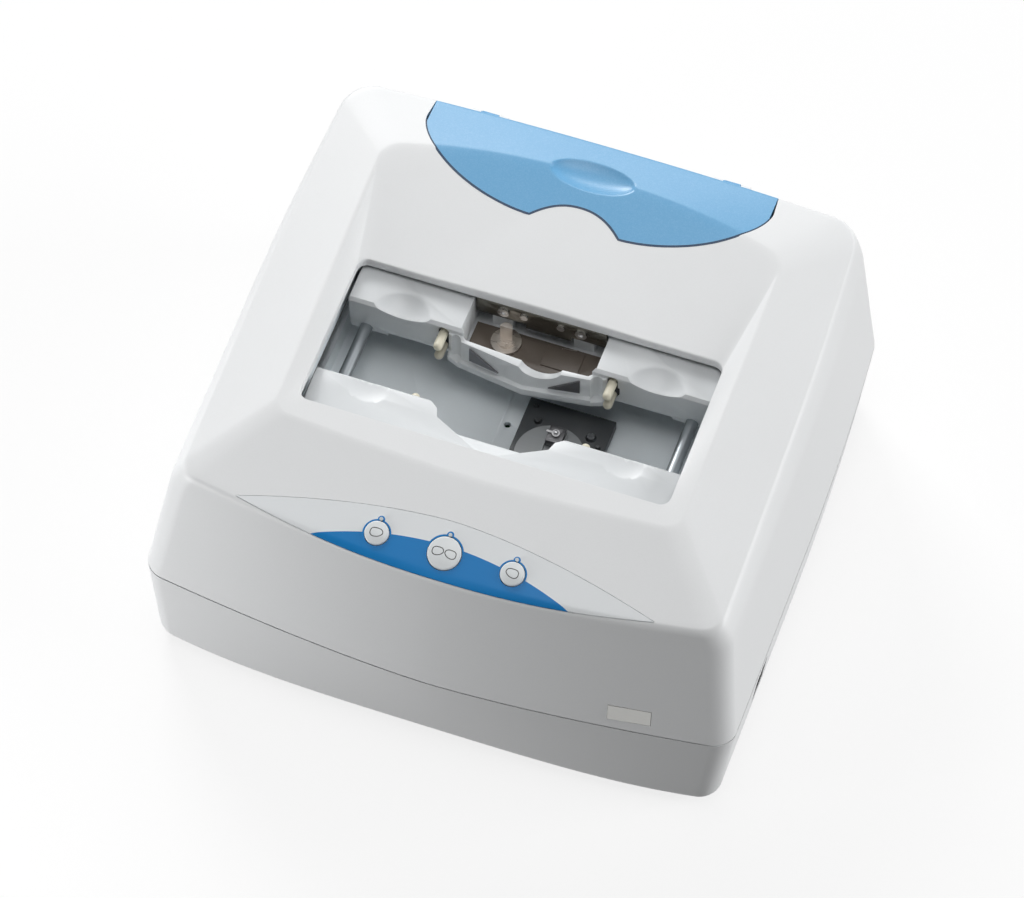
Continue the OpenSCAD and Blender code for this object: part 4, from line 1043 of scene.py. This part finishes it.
def lens_outline(w, h, cx, cy, nose, steps=72):
    """A lens: a rounded square in polar form, radius (|cos|^n + |sin|^n)^(-1/n), with
    the lower corner towards the nose drawn in."""
    a = circle(steps)
    n = 2.7
    rr = (np.abs(np.cos(a)) ** n + np.abs(np.sin(a)) ** n) ** (-1 / n)
    x, y = w * rr * np.cos(a), h * rr * np.sin(a)
    pull = np.clip(-y / h, 0, 1) * np.clip(nose * x / w + 0.4, 0, 1.4)
    return np.c_[cx + x * (1 - 0.3 * pull), cy + y * (1 - 0.22 * pull)]


lens_ribbon("picture_left", caps_made[-1], -1, [lens_outline(2.9, 2.1, 0, 0, 1)])
lens_ribbon("picture_start", caps_made[0], 0, [lens_outline(2.6, 2.0, -3.0, 0, 1),
                                               lens_outline(2.6, 2.0, 3.0, 0, -1)])
lens_ribbon("picture_right", caps_made[1], 1, [lens_outline(2.9, 2.1, 0, 0, -1)])
print("pictures: 3")

# %% [markdown]
# Machined and moulded edges are never knife sharp. A copy of each solid named here is
# merged, its flat faces are joined, and a small bevel rounds its edges, so every edge
# carries a thin line of light; the solid itself stays as it was packed.
# %% Soft edges on the visible solids
EDGES = {"front_slider": 0.55, "rear_slider": 0.5, "template_bracket": 0.25,
         "unit_cover": 0.35, "rod_blocks": 0.4, "well_tub": 0.3, "template_floor": 0.2,
         "hinge_brackets": 0.3, "switch_bezel": 0.4, "power_inlet": 0.4,
         "unit_carriage": 0.3, "stylus_carriage": 0.2, "storage_box": 0.4}


def soft_edged(node, width):
    """A copy of a solid with merged corners, joined flats and rounded edges."""
    source = nodes[node]
    obj = bpy.data.objects.new(node + "_soft", source.data.copy())
    scene.collection.objects.link(obj)
    bm = bmesh.new()
    bm.from_mesh(obj.data)
    bmesh.ops.remove_doubles(bm, verts=bm.verts, dist=0.000005)
    bmesh.ops.dissolve_limit(bm, angle_limit=math.radians(0.8), verts=bm.verts, edges=bm.edges)
    bm.to_mesh(obj.data)
    bm.free()
    m = obj.modifiers.new("soft edge", "BEVEL")
    m.width, m.segments, m.limit_method = width * MM, 2, "ANGLE"
    m.angle_limit, m.miter_outer = math.radians(35), "MITER_ARC"
    smooth(obj, 35)
    finish_modifiers(obj)
    smooth(obj, 40)
    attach(obj, source["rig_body"])
    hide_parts(node)
    return obj


soft = {name: soft_edged(name, w) for name, w in EDGES.items()}
print("soft-edged copies:", len(soft))

# %% [markdown]
# Small things in the well: the ivory fingers stand in slots whose shade is painted as
# thin dark plates, and the feeler's floor carries a scribed corner. Each is a thin shape
# of its own, seated on the surface that carries it.
# %% Painted shade: dark slots behind the fingers
# The near-black plates are painted shade for the slots round the fingers.
painted_slot_shade = moulded("painted slot shade", (0.012, 0.012, 0.014), 0.6, 0.1, 0.1)
SLOT_R, SLOT_IN, SLOT_TRIM, SLOT_PROUD, SLOT_DEPTH = 3.1, 1.9, 0.4, 0.06, 0.5
ACROSS_WELL = 40


def stadium(cx, z0, z1, r, steps=20):
    """A slot's outline in x and z: two half circles joined by straight sides."""
    a = np.linspace(0, math.pi, steps)
    top = np.c_[cx + r * np.cos(a), z1 - r + r * np.sin(a)]
    low = np.c_[cx - r * np.cos(a), z0 + r - r * np.sin(a)]
    return np.concatenate([top, low])


def slot_shade_plate(name, slider, finger, x_side, facing):
    """A thin dark stadium of painted shade on the slider's face round a finger: the face's
    y is read by a ray shot at it from across the well, just beside the slot."""
    lo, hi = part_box(finger)
    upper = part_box(finger.replace("lower", "upper"))[1][2] / MM
    cx = x_side * (hi[0] / MM - SLOT_IN)
    z0, z1 = lo[2] / MM + SLOT_TRIM, upper - SLOT_TRIM
    start = Vector((cx + x_side * (SLOT_R + 0.5), facing * ACROSS_WELL, (z0 + z1) / 2)) * MM
    hit = tree_of(soft[slider]).ray_cast(start, Vector((0, -facing, 0)))[0]
    outline = stadium(cx, z0, z1, SLOT_R)
    n = len(outline)
    face = np.c_[outline[:, 0], np.full(n, hit.y / MM + facing * SLOT_PROUD), outline[:, 1]]
    obj = mesh_from(name, np.concatenate([face, face - [0, facing * SLOT_DEPTH, 0]]),
                    tube_faces(n), [painted_slot_shade])
    bm = bmesh.new()
    bm.from_mesh(obj.data)
    bmesh.ops.recalc_face_normals(bm, faces=bm.faces)
    bm.to_mesh(obj.data)
    bm.free()
    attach(obj, nodes[slider]["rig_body"])
    return obj


for slider, finger, facing in (("rear_slider", "rear_lower_fingers", -1),
                               ("front_slider", "front_lower_fingers", 1)):
    for side_x, word in ((-1, "left"), (1, "right")):
        piece = slot_shade_plate(f"{slider}_slot_{word}", slider, finger, side_x, facing)
        print(piece.name, "at y", round(piece.data.vertices[0].co.y / MM, 1))

# %% Scribed corner on the feeler's floor
SCRIBED = [(570.0, 337.8), (562.2, 348.8), (580.9, 345.0)]
SCRIBED_LIFT, SCRIBED_DEPTH = 0.04, 0.15
feeler_tree = tree_of(soft["template_floor"])
line_pts = np.array([on_surface(feeler_tree, q) / MM for q in SCRIBED])


def ribbon(name, path, width, material):
    """A flat closed strip along a path: each point steps to both sides at right angles
    to the way ahead, a hair above the surface."""
    out = to_the_right(np.gradient(path, axis=0))
    step = np.c_[-out * width / 2, np.zeros(len(path))]
    a, b = path + step + [0, 0, SCRIBED_LIFT], path - step + [0, 0, SCRIBED_LIFT]
    down = [0, 0, SCRIBED_DEPTH]
    return mesh_from(name, np.concatenate([a, b, b - down, a - down]),
                     grid_faces(4, len(path), True, False)[:, ::-1], [material])


scribed = ribbon("scribed_corner", line_pts, 0.5, SLOT_FINISH["feeler_steel"])
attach(scribed, nodes["template_floor"]["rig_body"])
print("scribed corner at", np.round(line_pts.mean(0), 1))

# %% [markdown]
# A white studio: the floor and the world look white to the camera, while the lamps,
# set for the object alone, give the shoulder its bright left and its grey right.
# %% Floor, world and lamps


def shown_rays(tree):
    """One for camera, glossy and transmission rays, nothing for the rest."""
    path = tree.nodes.new("ShaderNodeLightPath")
    return maths(tree, "MAXIMUM", path.outputs["Is Camera Ray"],
                 maths(tree, "MAXIMUM", path.outputs["Is Glossy Ray"],
                       path.outputs["Is Transmission Ray"]))


floor_mat, t, s = finish("studio floor", Roughness=0.9)
seen = t.nodes.new("ShaderNodeLightPath").outputs["Is Camera Ray"]
wire(t, s, Base_Color=maths(t, "ADD", 0.08, maths(t, "MULTIPLY", seen, 0.87)))
mix = t.nodes.new("ShaderNodeMixShader")
t.links.new(maths(t, "MULTIPLY", shown_rays(t), 0.8), mix.inputs[0])
t.links.new(s.outputs[0], mix.inputs[1])
t.links.new(t.nodes.new("ShaderNodeEmission").outputs[0], mix.inputs[2])
t.links.new(mix.outputs[0], t.nodes["Material Output"].inputs["Surface"])
side = 6000.0
floor = mesh_from("studio_floor", [[-side, -side, 0], [side, -side, 0], [side, side, 0],
                                   [-side, side, 0]], [[0, 1, 2, 3]], [floor_mat])
world = bpy.data.worlds.new("studio")
scene.world = world
world.use_nodes = True
t = world.node_tree
wire(t, t.nodes["Background"], Color=(1, 1, 1), Strength=maths(
    t, "ADD", 0.025, maths(t, "MULTIPLY", shown_rays(t), 0.975)))


def lamp(name, place, aim, size, power):
    """A square soft box, in metres and watts, turned towards its aim."""
    data = bpy.data.lights.new(name, "AREA")
    data.size, data.energy = size, power
    obj = bpy.data.objects.new(name, data)
    obj.visible_camera = False
    scene.collection.objects.link(obj)
    look = Vector(aim) - Vector(place)
    obj.matrix_world = (Matrix.Translation(place)
                        @ look.to_track_quat("-Z", "Y").to_matrix().to_4x4())


LAMPS = {"key_behind": ((-1.25, 1.6, 1.42), (0, 0, 0.1), 0.9, 37),
         "lid_sheen": ((-0.42, 1.78, 1.42), (0, 0.1, 0.14), 0.5, 5),
         "side_left": ((-1.9, 0.2, 0.6), (0, 0, 0.08), 1.1, 4),
         "side_right": ((1.9, 0.4, 0.7), (0, 0, 0.08), 1.1, 28),
         "low_left": ((-0.5, -0.5, 0.1), (-0.1, -0.1, 0.06), 0.25, 2.4),
         "top": ((0.1, -0.1, 2.3), (0, 0, 0.1), 1.2, 13.5)}
for name, values in LAMPS.items():
    lamp(name, *values)

# %% Where each named thing shows
bpy.context.view_layer.update()


def points_of(obj, keep=None):
    """World places of an object's vertices, filtered by a test on millimetres."""
    co = np.empty(len(obj.data.vertices) * 3)
    obj.data.vertices.foreach_get("co", co)
    co = co.reshape(-1, 3)
    return co if keep is None else co[keep(co / MM)]


def middle(obj, keep=None):
    """Middle of the pixels that an object's chosen vertices cover."""
    q = project(points_of(obj, keep))
    return (q.min(0) + q.max(0)) / 2


housing = project(np.concatenate([points_of(upper_cover), points_of(base_tray)]))
lid_px = project(points_of(rear_lid, lambda c: c[:, 2] > 133))
leaf_px = project(points_of(overlay))
shown = {
    "left": housing[housing[:, 0].argmin()], "right": housing[housing[:, 0].argmax()],
    "top": housing[housing[:, 1].argmin()], "bottom": housing[housing[:, 1].argmax()],
    "button_left": middle(caps_made[-1], lambda c: c[:, 2] > 118),
    "button_start": middle(caps_made[0], lambda c: c[:, 2] > 118.0),
    "button_right": middle(caps_made[1], lambda c: c[:, 2] > 118),
    "blank_plate": middle(nodes["blank_plate"]),
    "overlay_left": leaf_px[leaf_px[:, 0].argmin()],
    "overlay_right": leaf_px[leaf_px[:, 0].argmax()],
    "bracket_screw_left": middle(nodes["bracket_screws"],
                                 lambda c: (c[:, 0] < -14) & (c[:, 1] < 31)),
    "bracket_screw_right": middle(nodes["bracket_screws"],
                                  lambda c: (c[:, 0] > 14) & (c[:, 1] < 31)),
    "pin_left": middle(nodes["rear_upper_fingers"], lambda c: (c[:, 0] < 0) & (c[:, 1] < 10)),
    "pin_right": middle(nodes["rear_upper_fingers"], lambda c: (c[:, 0] > 0) & (c[:, 1] < 10)),
    "stylus": middle(nodes["stylus_shaft"], lambda c: c[:, 2] > 96.5),
    "slider_edge_left": project([(-0.088, -0.029, 0.123)])[0],
    "lid_left": lid_px[lid_px[:, 0].argmin()],
    "lid_dimple": middle(rear_lid, lambda c: (np.abs(c[:, 0]) < 21)
                         & (np.abs(c[:, 1] - 102) < 9) & (c[:, 2] > 138)),
}
offsets = {k: [round(float(v[0] - POINTS[k][0]), 1), round(float(v[1] - POINTS[k][1]), 1)]
           for k, v in shown.items()}
for k, v in offsets.items():
    print(f"{k:22s} off by {v[0]:6.1f} {v[1]:6.1f}")

# %% Colour view and the end
scene.view_settings.view_transform = "Standard"
